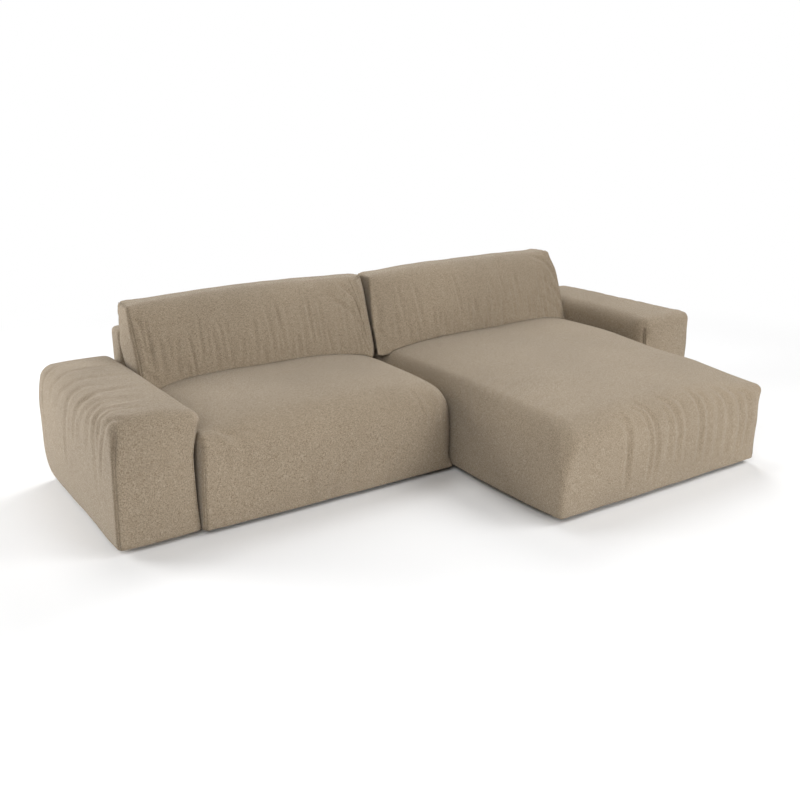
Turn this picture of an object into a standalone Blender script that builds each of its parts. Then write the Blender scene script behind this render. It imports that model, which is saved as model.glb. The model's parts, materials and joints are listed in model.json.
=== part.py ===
"""Corner sofa with a chaise: two arms, a left seat, a long chaise seat, two low backs and two loose
back cushions. Metres, +Z up, +X to the right as seen from the front, +Y towards the back.
The origin lies on the floor, in the middle of the sofa's footprint."""

import math
from dataclasses import dataclass, field, replace

import bmesh
import bpy
from mathutils import Vector

# Outer sizes of the modules
ARM_WIDTH = 0.345
ARM_HEIGHT = 0.575
SEAT_WIDTH = 1.256
SEAT_EDGE_HEIGHT = 0.412
CHAISE_EDGE_HEIGHT = 0.430
BACK_HEIGHT = 0.685
BACK_THICKNESS = 0.115
BODY_DEPTH = 0.975
SEAT_PROUD = 0.016
CHAISE_REACH = 0.740
GROUND_CLEARANCE = 0.022

# Softness of the upholstered forms: crowns, rounded edges and bulging sides
SEAT_CROWN = 0.085
CHAISE_CROWN = 0.070
SEAT_TOP_EDGE = 0.070
SEAT_CORNER = 0.045
SEAT_FRONT_BULGE = 0.010
CHAISE_SIDE_BULGE = 0.018
CHAISE_BULGE_END = 0.030
ARM_CROWN = 0.018
ARM_TOP_EDGE = 0.050
ARM_CORNER = 0.030
ARM_BULGE = 0.016
BACK_CROWN = 0.004
BACK_EDGE = 0.028

# Covers, fillings and the fits between them
COVER_WALL = 0.003
FILL_SLACK = 0.001
CLEARANCE = 0.0003
HEM_WIDTH = 0.040
BACK_HEM_WIDTH = 0.030
BASE_CLOTH_THICKNESS = 0.002

# How far the frames stand in from the covers' faces
EXPOSED_PAD = 0.060
JOINT_PAD = 0.012
REAR_PAD = 0.040
ARM_TOP_PAD = 0.055
BACK_PAD = 0.040

# Timber, webbing and boards of the frames
RAIL_THICKNESS = 0.045
RAIL_HEIGHT = 0.180
STRAP_WIDTH = 0.080
STRAP_THICKNESS = 0.003
SEAT_STRAPS = 4
CHAISE_STRAPS = 8
LENGTHWISE_STRAPS = 3
BOARD_THICKNESS = 0.018

# Feet
FOOT_DIAMETER = 0.040
FOOT_CHAMFER = 0.003
FOOT_STEM_DIAMETER = 0.008
FOOT_STEM_LENGTH = 0.014
SEAT_FOOT_INSET = 0.120
ARM_FOOT_INSET = 0.130

# Bolts that draw two modules together
BOLT_DIAMETER = 0.008
BOLT_HEAD_DIAMETER = 0.018
BOLT_HEAD_THICKNESS = 0.003
BOLT_HEIGHT = 0.115
BOLT_TO_RAIL = 0.050

# Loose back cushions
CUSHION_SIDE_GAP = 0.004
CUSHION_TOP = 0.824
CUSHION_BOTTOM = 0.425
CUSHION_TOP_DEPTH = 0.130
CUSHION_LEAN = math.radians(19.5)
CUSHION_CROWN = 0.042
CUSHION_TOP_CROWN = 0.008
CUSHION_TAPER = 0.016
CUSHION_TUCK = 0.120
CUSHION_TUCK_HEIGHT = 0.200
CUSHION_EDGE = 0.045
CUSHION_END_EDGE = 0.022

# Zip of each cushion cover, across the tucked lower part of its back
ZIP_HEIGHT = 0.098
ZIP_LENGTH = 1.000
ZIP_TAPE_WIDTH = 0.026
ZIP_TAPE_THICKNESS = 0.0018
ZIP_TEETH_WIDTH = 0.005
ZIP_TEETH_HEIGHT = 0.0015
ZIP_SLIDER_LENGTH = 0.014
ZIP_SLIDER_WIDTH = 0.010
ZIP_SLIDER_ROOF = 0.002
ZIP_PULL_LENGTH = 0.030
ZIP_PULL_WIDTH = 0.007
ZIP_PULL_THICKNESS = 0.0015
ZIP_PULL_SINK = 0.0005
ZIP_END_MARGIN = 0.006

# Shape of the crowns and bulges: a crown falls off faster towards the sides with a higher power,
# and a bulge keeps this share of its full amount at its foot and at its top
CROWN_POWER = 3.0
BULGE_END_SHARE = 0.5

# Fineness of the round and crowned shapes: cells along X, Y and Z between the rounded edges
ROUND_SIDES = 12
FINE_ARC_COUNT = 2
COARSE_ARC_COUNT = 1
SEAT_CELL_COUNTS = (4, 4, 2)
SEAT_INNER_CELL_COUNTS = (2, 2, 1)
CHAISE_CELL_COUNTS = (4, 9, 2)
CHAISE_INNER_CELL_COUNTS = (2, 9, 1)
ARM_CELL_COUNTS = (2, 4, 2)
ARM_INNER_CELL_COUNTS = (2, 2, 1)
BACK_CELL_COUNTS = (3, 1, 2)
BACK_INNER_CELL_COUNTS = (1, 1, 1)
CUSHION_CELL_COUNTS = (6, 1, 3)
CUSHION_INNER_CELL_COUNTS = (3, 1, 3)
FLATNESS = math.radians(0.05)
SHARP_ANGLE = math.radians(40)

# Places that follow from the sizes above
TOTAL_WIDTH = 2 * ARM_WIDTH + 2 * SEAT_WIDTH + 3 * CLEARANCE
TOTAL_DEPTH = BODY_DEPTH + CHAISE_REACH
BACK_REAR_Y = TOTAL_DEPTH / 2
BACK_FRONT_Y = BACK_REAR_Y - BACK_THICKNESS
SEAT_REAR_Y = BACK_FRONT_Y - CLEARANCE
ARM_FRONT_Y = BACK_REAR_Y - BODY_DEPTH
SEAT_FRONT_Y = ARM_FRONT_Y - SEAT_PROUD
CHAISE_FRONT_Y = ARM_FRONT_Y - CHAISE_REACH
SEAT_X = (SEAT_WIDTH + CLEARANCE) / 2
ARM_X = (TOTAL_WIDTH - ARM_WIDTH) / 2
HEM_TOP = GROUND_CLEARANCE + COVER_WALL
FRAME_BOTTOM = HEM_TOP + CLEARANCE
RAIL_TOP = FRAME_BOTTOM + RAIL_HEIGHT
STRAP_TOP = RAIL_TOP + CLEARANCE + STRAP_THICKNESS
CUSHION_WIDTH = SEAT_WIDTH - 2 * CUSHION_SIDE_GAP
CUSHION_HEIGHT = CUSHION_TOP - CUSHION_BOTTOM
CUSHION_MEAN_DEPTH = CUSHION_TOP_DEPTH + CUSHION_HEIGHT * math.tan(CUSHION_LEAN) / 2

# Finishes: name, colour, roughness and metallic value
FABRIC = ("woven_fabric", (0.41, 0.35, 0.275), 0.95, 0.0)
BASE_FABRIC = ("base_cloth", (0.02, 0.02, 0.02), 0.9, 0.0)
FOAM = ("foam", (0.85, 0.80, 0.62), 0.9, 0.0)
FIBRE = ("fibre_filling", (0.85, 0.85, 0.83), 0.95, 0.0)
TIMBER = ("timber", (0.62, 0.43, 0.24), 0.6, 0.0)
PLYWOOD = ("plywood", (0.66, 0.49, 0.30), 0.6, 0.0)
WEBBING = ("webbing", (0.05, 0.05, 0.06), 0.8, 0.0)
PLASTIC = ("black_plastic", (0.015, 0.015, 0.016), 0.5, 0.0)
STEEL = ("zinc_steel", (0.60, 0.60, 0.62), 0.35, 1.0)
ZIP_METAL = ("zip_metal", (0.30, 0.27, 0.22), 0.4, 1.0)
ZIP_CLOTH = ("zip_tape", (0.30, 0.25, 0.19), 0.85, 0.0)


@dataclass
class Form:
    """An upholstered block: a box with rounded upright and top edges, a crowned top and sides that
    bulge between their corners. A bulge is (axis, end, amount, start, stop); it runs from start to
    stop along the other horizontal axis."""

    low: Vector
    high: Vector
    corner: float
    top_edge: float
    crown: float = 0.0
    bulges: list = field(default_factory=list)

    def inset(self, side, bottom):
        """The same form, drawn in by `side` at its sides and top and by `bottom` at its underside."""
        return replace(
            self,
            low=self.low + Vector((side, side, bottom)),
            high=self.high - Vector((side, side, side)),
            corner=self.corner - side,
            top_edge=self.top_edge - side,
        )


def clear_scene():
    for scene_object in list(bpy.data.objects):
        bpy.data.objects.remove(scene_object, do_unlink=True)


def material(finish):
    """The Principled material of this name, made the first time that it is asked for."""
    name, colour, roughness, metallic = finish
    found = bpy.data.materials.get(name)
    if found:
        return found
    made = bpy.data.materials.new(name)
    made.use_nodes = True
    shader = made.node_tree.nodes["Principled BSDF"]
    shader.inputs["Base Color"].default_value = (*colour, 1.0)
    shader.inputs["Roughness"].default_value = roughness
    shader.inputs["Metallic"].default_value = metallic
    made.diffuse_color = (*colour, 1.0)
    return made


def empty(name, location, parent=None):
    made = bpy.data.objects.new(name, None)
    made.location = location
    made.parent = parent
    bpy.context.scene.collection.objects.link(made)
    return made


def solid(name, bm, parent, location, finish):
    """Turns the bmesh into a named object with its own material, and puts it on its parent."""
    bmesh.ops.recalc_face_normals(bm, faces=bm.faces)
    mesh = bpy.data.meshes.new(name)
    bm.to_mesh(mesh)
    bm.free()
    made = bpy.data.objects.new(name, mesh)
    made.data.materials.append(material(finish))
    made.location = location
    made.parent = parent
    bpy.context.scene.collection.objects.link(made)
    return made


def smooth(made):
    made.data.shade_smooth()
    made.data.set_sharp_from_angle(angle=SHARP_ANGLE)


def hide_cutter(made):
    made.hide_render = True
    made.display_type = "WIRE"
    return made


def cut(target, cutter):
    boolean = target.modifiers.new(f"cut_{cutter.name}", "BOOLEAN")
    boolean.operation = "DIFFERENCE"
    boolean.solver = "EXACT"
    boolean.object = cutter


def join(target, tool):
    boolean = target.modifiers.new(f"join_{tool.name}", "BOOLEAN")
    boolean.operation = "UNION"
    boolean.solver = "EXACT"
    boolean.object = tool


def box_mesh(size):
    bm = bmesh.new()
    bmesh.ops.create_cube(bm, size=1.0)
    bmesh.ops.scale(bm, vec=size, verts=bm.verts)
    return bm


def board(name, low, high, parent, finish):
    """A rectangular piece between two corners, with its origin at its middle."""
    low = Vector(low)
    high = Vector(high)
    return solid(name, box_mesh(high - low), parent, (low + high) / 2, finish)


def turned_mesh(profile, sides):
    """A piece turned about Z from (radius, height) points, listed upwards, with flat ends."""
    bm = bmesh.new()
    rings = []
    for radius, height in profile:
        ring = []
        for index in range(sides):
            angle = 2 * math.pi * index / sides
            ring.append(bm.verts.new((radius * math.cos(angle), radius * math.sin(angle), height)))
        rings.append(ring)
    for below, above in zip(rings, rings[1:]):
        for index in range(sides):
            after = (index + 1) % sides
            bm.faces.new((below[index], below[after], above[after], above[index]))
    bm.faces.new(reversed(rings[0]))
    bm.faces.new(rings[-1])
    return bm


def lattice_lines(low, high, edge_low, edge_high, arc_cells, middle_cells):
    """Where the lattice lines cross one side: evenly over its middle, and at even angles round its
    two edges, or nowhere round an edge of radius 0."""
    steps = [math.tan(math.radians(45) * index / arc_cells) for index in range(1, arc_cells + 1)]
    start = low + edge_low
    stop = high - edge_high
    before = [start - edge_low * step for step in reversed(steps) if edge_low]
    middle = [start + (stop - start) * index / middle_cells for index in range(middle_cells + 1)]
    after = [stop + edge_high * step for step in steps if edge_high]
    return before + middle + after


def rounded(place, low, high, edges_low, edges_high):
    """Moves a point of a sharp box's surface to where it lies once the box's edges are rounded."""
    centre = Vector(place)
    radius = Vector((0, 0, 0))
    for axis in range(3):
        if place[axis] < low[axis] + edges_low[axis]:
            centre[axis] = low[axis] + edges_low[axis]
            radius[axis] = edges_low[axis]
        elif place[axis] > high[axis] - edges_high[axis]:
            centre[axis] = high[axis] - edges_high[axis]
            radius[axis] = edges_high[axis]
    reach = Vector([(place[a] - centre[a]) / radius[a] if radius[a] else 0.0 for a in range(3)])
    reach.normalize()
    return centre + Vector([radius[a] * reach[a] for a in range(3)])


def lattice_mesh(low, high, edges_low, edges_high, arc_cells, middle_cells, shape):
    """A closed mesh over the six sides of a rounded box; `shape` then moves each of its points."""
    lines = [
        lattice_lines(low[a], high[a], edges_low[a], edges_high[a], arc_cells, middle_cells[a])
        for a in range(3)
    ]
    last = [len(line) - 1 for line in lines]
    bm = bmesh.new()
    made = {}

    def vertex(key):
        if key not in made:
            place = Vector([lines[axis][key[axis]] for axis in range(3)])
            made[key] = bm.verts.new(shape(rounded(place, low, high, edges_low, edges_high)))
        return made[key]

    for axis in range(3):
        first = (axis + 1) % 3
        second = (axis + 2) % 3
        for end in (0, last[axis]):
            for across in range(last[first]):
                for along in range(last[second]):
                    corners = []
                    for step_first, step_second in ((0, 0), (1, 0), (1, 1), (0, 1)):
                        key = [0, 0, 0]
                        key[axis] = end
                        key[first] = across + step_first
                        key[second] = along + step_second
                        corners.append(vertex(tuple(key)))
                    bm.faces.new(corners)
    bmesh.ops.triangulate(bm, faces=bm.faces, quad_method="FIXED")
    bmesh.ops.dissolve_limit(bm, angle_limit=FLATNESS, verts=bm.verts, edges=bm.edges)
    return bm


def form_mesh(form, arc_cells, middle_cells):
    """The mesh of an upholstered form."""
    middle = (form.low + form.high) / 2
    half = (form.high - form.low) / 2

    def swell(place):
        share = [(place[axis] - middle[axis]) / half[axis] for axis in range(3)]
        level = (share[2] + 1) / 2
        moved = Vector(place)
        for axis, end, amount, start, stop in form.bulges:
            if share[axis] * end <= 0:
                continue
            run = (place[1 - axis] - (start + stop) / 2) / ((stop - start) / 2)
            rise = BULGE_END_SHARE + (1 - BULGE_END_SHARE) * 4 * level * (1 - level)
            moved[axis] += amount * share[axis] * max(0.0, 1 - run * run) * rise
        crown = (1 - abs(share[0]) ** CROWN_POWER) * (1 - abs(share[1]) ** CROWN_POWER)
        moved[2] += form.crown * crown * level * level
        return moved

    edges_low = Vector((form.corner, form.corner, 0.0))
    edges_high = Vector((form.corner, form.corner, form.top_edge))
    return lattice_mesh(form.low, form.high, edges_low, edges_high, arc_cells, middle_cells, swell)


def make_cover(name, form, hem_width, cells, inner_cells, parent):
    """A sewn cover with the form's outer shape, hollow inside, and open underneath within its hem."""
    cover = solid(name, form_mesh(form, FINE_ARC_COUNT, cells), parent, (0, 0, 0), FABRIC)
    inner = form_mesh(form.inset(COVER_WALL, COVER_WALL), COARSE_ARC_COUNT, inner_cells)
    cut(cover, hide_cutter(solid(f"{name}_inside", inner, parent, (0, 0, 0), FABRIC)))
    low = form.low + Vector((hem_width, hem_width, -COVER_WALL))
    high = Vector((form.high.x - hem_width, form.high.y - hem_width, HEM_TOP + COVER_WALL))
    cut(cover, hide_cutter(board(f"{name}_mouth", low, high, parent, FABRIC)))
    smooth(cover)
    return cover


def make_foam(name, form, cells, hollow_low, hollow_high, parent):
    """Foam that fills a cover, with a hollow from below for the frame that it sits on and wraps."""
    block = form.inset(COVER_WALL + FILL_SLACK, COVER_WALL + CLEARANCE)
    foam = solid(name, form_mesh(block, COARSE_ARC_COUNT, cells), parent, (0, 0, 0), FOAM)
    low = Vector(hollow_low) - Vector((CLEARANCE, CLEARANCE, COVER_WALL))
    high = Vector(hollow_high) + Vector((CLEARANCE, CLEARANCE, CLEARANCE))
    cut(foam, hide_cutter(board(f"{name}_hollow", low, high, parent, FOAM)))
    smooth(foam)
    return foam


def make_foot(name, place, seat_height, parent):
    """A turned plastic glide whose stem stands in a blind hole in the timber above it."""
    pad = FOOT_DIAMETER / 2
    stem = FOOT_STEM_DIAMETER / 2
    profile = [
        (pad - FOOT_CHAMFER, 0.0),
        (pad, FOOT_CHAMFER),
        (pad, seat_height),
        (stem, seat_height),
        (stem, seat_height + FOOT_STEM_LENGTH),
    ]
    foot = solid(name, turned_mesh(profile, ROUND_SIDES), parent, (*place, 0.0), PLASTIC)
    smooth(foot)
    return foot


def foot_hole(name, place, seat_height, parent):
    """Cutter for a foot's stem, from the floor up to just above the stem."""
    radius = FOOT_STEM_DIAMETER / 2 + CLEARANCE
    profile = [(radius, 0.0), (radius, seat_height + FOOT_STEM_LENGTH + CLEARANCE)]
    return hide_cutter(solid(name, turned_mesh(profile, ROUND_SIDES), parent, (*place, 0.0), PLASTIC))


def make_bolt(name, start, stop, y):
    """A connector bolt along X with a flat head at each end, from one frame's face to the other's."""
    shaft = BOLT_DIAMETER / 2
    head = BOLT_HEAD_DIAMETER / 2
    length = stop - start + 2 * CLEARANCE
    profile = [
        (head, -BOLT_HEAD_THICKNESS),
        (head, 0.0),
        (shaft, 0.0),
        (shaft, length),
        (head, length),
        (head, length + BOLT_HEAD_THICKNESS),
    ]
    place = (start - CLEARANCE, y, BOLT_HEIGHT)
    bolt = solid(name, turned_mesh(profile, ROUND_SIDES), None, place, STEEL)
    bolt.rotation_euler = (0, math.radians(90), 0)
    smooth(bolt)
    return bolt


def bolt_hole(name, start, stop, y):
    radius = BOLT_DIAMETER / 2 + CLEARANCE
    profile = [(radius, 0.0), (radius, stop - start)]
    hole = solid(name, turned_mesh(profile, ROUND_SIDES), None, (start, y, BOLT_HEIGHT), STEEL)
    hole.rotation_euler = (0, math.radians(90), 0)
    return hide_cutter(hole)


def strap_mesh(low, high, straps_across, straps_along):
    """Webbing: straps across and along a frame, joined where they cross, as one flat net."""
    lines = []
    strapped = []
    for axis, count in ((0, straps_along), (1, straps_across)):
        pitch = (high[axis] - low[axis] - STRAP_WIDTH) / (count - 1)
        edges = []
        for index in range(count):
            edges += [low[axis] + pitch * index, low[axis] + pitch * index + STRAP_WIDTH]
        lines.append(edges)
        strapped.append([cell % 2 == 0 for cell in range(len(edges) - 1)])
    bm = bmesh.new()
    made = {}
    for column, on_along in enumerate(strapped[0]):
        for row, on_across in enumerate(strapped[1]):
            if not (on_along or on_across):
                continue
            corners = []
            for i, j in ((0, 0), (1, 0), (1, 1), (0, 1)):
                key = (column + i, row + j)
                if key not in made:
                    made[key] = bm.verts.new((lines[0][key[0]], lines[1][key[1]], 0.0))
                corners.append(made[key])
            bm.faces.new(corners)
    return bm


def make_webbing(name, low, high, straps_across, parent):
    net = strap_mesh(low, high, straps_across, LENGTHWISE_STRAPS)
    webbing = solid(name, net, parent, (0, 0, STRAP_TOP - STRAP_THICKNESS / 2), WEBBING)
    thicken = webbing.modifiers.new("thickness", "SOLIDIFY")
    thicken.thickness = STRAP_THICKNESS
    thicken.offset = 0.0
    return webbing


def make_seat_frame(prefix, low, high, parent):
    """Four timber rails: two side rails of the whole depth, with the front and rear rails between."""
    inner_low = low.x + RAIL_THICKNESS + CLEARANCE
    inner_high = high.x - RAIL_THICKNESS - CLEARANCE
    plans = {
        "left_rail": ((low.x, low.y), (low.x + RAIL_THICKNESS, high.y)),
        "right_rail": ((high.x - RAIL_THICKNESS, low.y), (high.x, high.y)),
        "front_rail": ((inner_low, low.y), (inner_high, low.y + RAIL_THICKNESS)),
        "rear_rail": ((inner_low, high.y - RAIL_THICKNESS), (inner_high, high.y)),
    }
    return {
        name: board(f"{prefix}_{name}", (*start, FRAME_BOTTOM), (*stop, RAIL_TOP), parent, TIMBER)
        for name, (start, stop) in plans.items()
    }


def make_base_cloth(prefix, form, parent):
    """Cloth under the frame, in the mouth that the cover's hem leaves."""
    edge = HEM_WIDTH + CLEARANCE
    low = (form.low.x + edge, form.low.y + edge, HEM_TOP - BASE_CLOTH_THICKNESS)
    high = (form.high.x - edge, form.high.y - edge, HEM_TOP)
    return board(f"{prefix}_base_cloth", low, high, parent, BASE_FABRIC)


def make_feet(prefix, places, seat_height, parent):
    """A foot at each named place; each place also says which pieces the foot's stem goes into."""
    for name, (place, carriers) in places.items():
        hole = foot_hole(f"{prefix}_{name}_hole", place, seat_height, parent)
        for carrier in carriers:
            cut(carrier, hole)
        make_foot(f"{prefix}_{name}", place, seat_height, parent)


def seat_form(front_y, edge_height, crown, side_bulges):
    """The outer form of a seat, from its front to the low back behind it."""
    half = SEAT_WIDTH / 2
    front = (1, -1, SEAT_FRONT_BULGE, -half, half)
    return Form(
        low=Vector((-half, front_y + SEAT_FRONT_BULGE, GROUND_CLEARANCE)),
        high=Vector((half, SEAT_REAR_Y, edge_height)),
        corner=SEAT_CORNER,
        top_edge=SEAT_TOP_EDGE,
        crown=crown,
        bulges=[front, *side_bulges],
    )


def make_seat(prefix, form, straps, fineness, parent):
    """A seat module: frame, webbing, foam, cover, base cloth and feet. Returns what is bolted."""
    half = SEAT_WIDTH / 2 - JOINT_PAD
    low = Vector((-half, form.low.y + EXPOSED_PAD, FRAME_BOTTOM))
    high = Vector((half, form.high.y - REAR_PAD, STRAP_TOP))
    rails = make_seat_frame(prefix, low, high, parent)
    make_webbing(f"{prefix}_webbing", low, high, straps, parent)
    cells, inner_cells = fineness
    foam = make_foam(f"{prefix}_foam", form, inner_cells, low, high, parent)
    cover = make_cover(f"{prefix}_cover", form, HEM_WIDTH, cells, inner_cells, parent)
    base_cloth = make_base_cloth(prefix, form, parent)
    column = SEAT_WIDTH / 2 - SEAT_FOOT_INSET
    places = {}
    for row, y in (("front", low.y + RAIL_THICKNESS / 2), ("rear", high.y - RAIL_THICKNESS / 2)):
        for side, x in (("left", -column), ("right", column)):
            places[f"{row}_{side}_foot"] = ((x, y), [rails[f"{row}_rail"], base_cloth])
    make_feet(prefix, places, HEM_TOP - BASE_CLOTH_THICKNESS - CLEARANCE, parent)
    return {side: [rails[f"{side}_rail"], foam, cover] for side in ("left", "right")}


def make_arm_boards(prefix, low, high, inner_side, parent):
    """A box of four boards: the two sides stand on the base board and carry the top board."""
    base_top = low.z + BOARD_THICKNESS
    top_bottom = high.z - BOARD_THICKNESS
    left = ((low.x, low.y), (low.x + BOARD_THICKNESS, high.y))
    right = ((high.x - BOARD_THICKNESS, low.y), (high.x, high.y))
    inner, outer = (right, left) if inner_side > 0 else (left, right)
    floor = base_top + CLEARANCE
    ceiling = top_bottom - CLEARANCE
    return {
        "base": board(f"{prefix}_base_board", low, (high.x, high.y, base_top), parent, PLYWOOD),
        "top": board(f"{prefix}_top_board", (low.x, low.y, top_bottom), high, parent, PLYWOOD),
        "inner": board(f"{prefix}_inner_board", (*inner[0], floor), (*inner[1], ceiling), parent, PLYWOOD),
        "outer": board(f"{prefix}_outer_board", (*outer[0], floor), (*outer[1], ceiling), parent, PLYWOOD),
    }


def make_arm(prefix, inner_side, parent):
    """An arm module; `inner_side` is 1 where the seat is to its right. Returns what is bolted."""
    half = ARM_WIDTH / 2
    margins = {-inner_side: (ARM_BULGE, EXPOSED_PAD), inner_side: (0.0, JOINT_PAD)}
    low = Vector((margins[-1][0] - half, ARM_FRONT_Y + ARM_BULGE, GROUND_CLEARANCE))
    high = Vector((half - margins[1][0], BACK_REAR_Y - ARM_BULGE, ARM_HEIGHT - ARM_CROWN))
    form = Form(
        low=low,
        high=high,
        corner=ARM_CORNER,
        top_edge=ARM_TOP_EDGE,
        crown=ARM_CROWN,
        bulges=[
            (0, -inner_side, ARM_BULGE, ARM_FRONT_Y, BACK_REAR_Y),
            (1, -1, ARM_BULGE, -half, half),
            (1, 1, ARM_BULGE, -half, half),
        ],
    )
    frame_low = Vector((margins[-1][1] - half, ARM_FRONT_Y + EXPOSED_PAD, FRAME_BOTTOM))
    frame_high = Vector((half - margins[1][1], BACK_REAR_Y - EXPOSED_PAD, ARM_HEIGHT - ARM_TOP_PAD))
    boards = make_arm_boards(prefix, frame_low, frame_high, inner_side, parent)
    foam = make_foam(f"{prefix}_foam", form, ARM_INNER_CELL_COUNTS, frame_low, frame_high, parent)
    cover = make_cover(f"{prefix}_cover", form, HEM_WIDTH, ARM_CELL_COUNTS, ARM_INNER_CELL_COUNTS, parent)
    x = (frame_low.x + frame_high.x) / 2
    rows = {"front": ARM_FRONT_Y + ARM_FOOT_INSET, "rear": BACK_REAR_Y - ARM_FOOT_INSET}
    places = {f"{row}_foot": ((x, y), [boards["base"]]) for row, y in rows.items()}
    make_feet(prefix, places, FRAME_BOTTOM - CLEARANCE, parent)
    return [boards["inner"], foam, cover]


def make_back(prefix, parent):
    """A low back: one board in foam, under its cover."""
    half = SEAT_WIDTH / 2
    form = Form(
        low=Vector((-half, BACK_FRONT_Y, GROUND_CLEARANCE)),
        high=Vector((half, BACK_REAR_Y, BACK_HEIGHT - BACK_CROWN)),
        corner=BACK_EDGE,
        top_edge=BACK_EDGE,
        crown=BACK_CROWN,
    )
    middle_y = BACK_FRONT_Y + BACK_THICKNESS / 2
    low = Vector((BACK_PAD - half, middle_y - BOARD_THICKNESS / 2, FRAME_BOTTOM))
    high = Vector((half - BACK_PAD, middle_y + BOARD_THICKNESS / 2, BACK_HEIGHT - BACK_PAD))
    board(f"{prefix}_board", low, high, parent, PLYWOOD)
    make_foam(f"{prefix}_foam", form, BACK_INNER_CELL_COUNTS, low, high, parent)
    make_cover(f"{prefix}_cover", form, BACK_HEM_WIDTH, BACK_CELL_COUNTS, BACK_INNER_CELL_COUNTS, parent)


def bolt_modules(prefix, joint_x, reach_left, reach_right, pieces):
    """Two bolts through everything between the inner faces of two neighbouring modules' frames, just
    behind the left seat's front rail and just before its rear rail."""
    start = joint_x - reach_left - CLEARANCE / 2
    stop = joint_x + reach_right + CLEARANCE / 2
    front_y = SEAT_FRONT_Y + SEAT_FRONT_BULGE + EXPOSED_PAD + RAIL_THICKNESS + BOLT_TO_RAIL
    rear_y = SEAT_REAR_Y - REAR_PAD - RAIL_THICKNESS - BOLT_TO_RAIL
    for name, y in (("front", front_y), ("rear", rear_y)):
        hole = bolt_hole(f"{prefix}_{name}_bolt_hole", start - CLEARANCE, stop + CLEARANCE, y)
        for piece in pieces:
            cut(piece, hole)
        make_bolt(f"{prefix}_{name}_bolt", start, stop, y)


def cushion_mesh(inset, arc_cells, middle_cells):
    """A loose cushion's form: flat against the low back, leaning in front, tucked in low at the back.
    Its own frame has X along the cushion, Y = 0 at the low back and Z = 0 at its underside."""
    half = CUSHION_WIDTH / 2

    def lean(place):
        along = place.x / half
        level = min(1.0, max(0.0, place.z / CUSHION_HEIGHT))
        front = 1 - place.y / CUSHION_MEAN_DEPTH
        depth = CUSHION_TOP_DEPTH + (CUSHION_HEIGHT - place.z) * math.tan(CUSHION_LEAN)
        tuck = CUSHION_TUCK * max(0.0, 1 - place.z / CUSHION_TUCK_HEIGHT)
        crown = CUSHION_CROWN * (1 - along * along) * 4 * level * (1 - level)
        return Vector((
            place.x - along * CUSHION_TAPER * level,
            -(depth + crown) * front - tuck * (1 - front),
            place.z + CUSHION_TOP_CROWN * (1 - along * along) * level,
        ))

    low = Vector((inset - half, inset, inset))
    high = Vector((half - inset, CUSHION_MEAN_DEPTH - inset, CUSHION_HEIGHT - inset))
    end_edge = CUSHION_END_EDGE - inset
    edge = CUSHION_EDGE - inset
    edges = Vector((end_edge, edge, edge))
    return lattice_mesh(low, high, edges, edges, arc_cells, middle_cells, lean)


def seat_press(name, form, cells, seat_x, raise_by):
    """Cutter with the seat's own top, lifted a little: it flattens what rests on that seat."""
    press = solid(name, form_mesh(form, FINE_ARC_COUNT, cells), None, (seat_x, 0, raise_by), FABRIC)
    return hide_cutter(press)


def make_cushion(prefix, seat, seat_cells, seat_x):
    """A loose cushion: cover, filling and zip, all on an empty that lifts it off the seat."""
    lift = empty(f"{prefix}_lift", (seat_x, BACK_FRONT_Y - CLEARANCE, CUSHION_BOTTOM))
    plans = (
        ("cover", 0.0, FINE_ARC_COUNT, CUSHION_CELL_COUNTS, FABRIC),
        ("inside", COVER_WALL, COARSE_ARC_COUNT, CUSHION_INNER_CELL_COUNTS, FABRIC),
        ("filling", COVER_WALL + FILL_SLACK, COARSE_ARC_COUNT, CUSHION_INNER_CELL_COUNTS, FIBRE),
    )
    pieces = []
    for name, inset, arc_cells, middle_cells, finish in plans:
        shape = cushion_mesh(inset, arc_cells, middle_cells)
        piece = solid(f"{prefix}_{name}", shape, lift, (0, 0, 0), finish)
        cut(piece, seat_press(f"{piece.name}_press", seat, seat_cells, seat_x, CLEARANCE + inset))
        pieces.append(piece)
    cover, hollow, filling = pieces
    cut(cover, hide_cutter(hollow))
    smooth(cover)
    smooth(filling)
    make_zip(prefix, cover, lift)


def prism_mesh(outline, start, stop):
    """An outline in Y and Z, given anticlockwise as seen from +X, drawn out along X."""
    bm = bmesh.new()
    first = [bm.verts.new((start, y, z)) for y, z in outline]
    last = [bm.verts.new((stop, y, z)) for y, z in outline]
    bm.faces.new(reversed(first))
    bm.faces.new(last)
    for index in range(len(outline)):
        after = (index + 1) % len(outline)
        bm.faces.new((first[index], first[after], last[after], last[index]))
    return bm


def make_zip(prefix, cover, lift):
    """The zip in its own frame: X along it, Y down the tucked face, Z straight out of that face."""
    slope = math.atan2(CUSHION_TUCK, CUSHION_TUCK_HEIGHT)
    tucked_y = -CUSHION_TUCK * (1 - ZIP_HEIGHT / CUSHION_TUCK_HEIGHT)
    frame = empty(f"{prefix}_zip_frame", (0, tucked_y, ZIP_HEIGHT), lift)
    frame.rotation_euler = (-math.pi / 2 - slope, 0, 0)
    half_length = ZIP_LENGTH / 2
    half_tape = ZIP_TAPE_WIDTH / 2
    slot_low = (-half_length, -half_tape, -2 * COVER_WALL)
    slot_high = (half_length, half_tape, COVER_WALL)
    cut(cover, hide_cutter(board(f"{prefix}_zip_slot", slot_low, slot_high, frame, ZIP_CLOTH)))
    make_zip_tape(f"{prefix}_zip_tape", half_length - CLEARANCE, half_tape - CLEARANCE, frame)
    make_zip_slider(f"{prefix}_zip_slider", half_length, frame)


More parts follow.
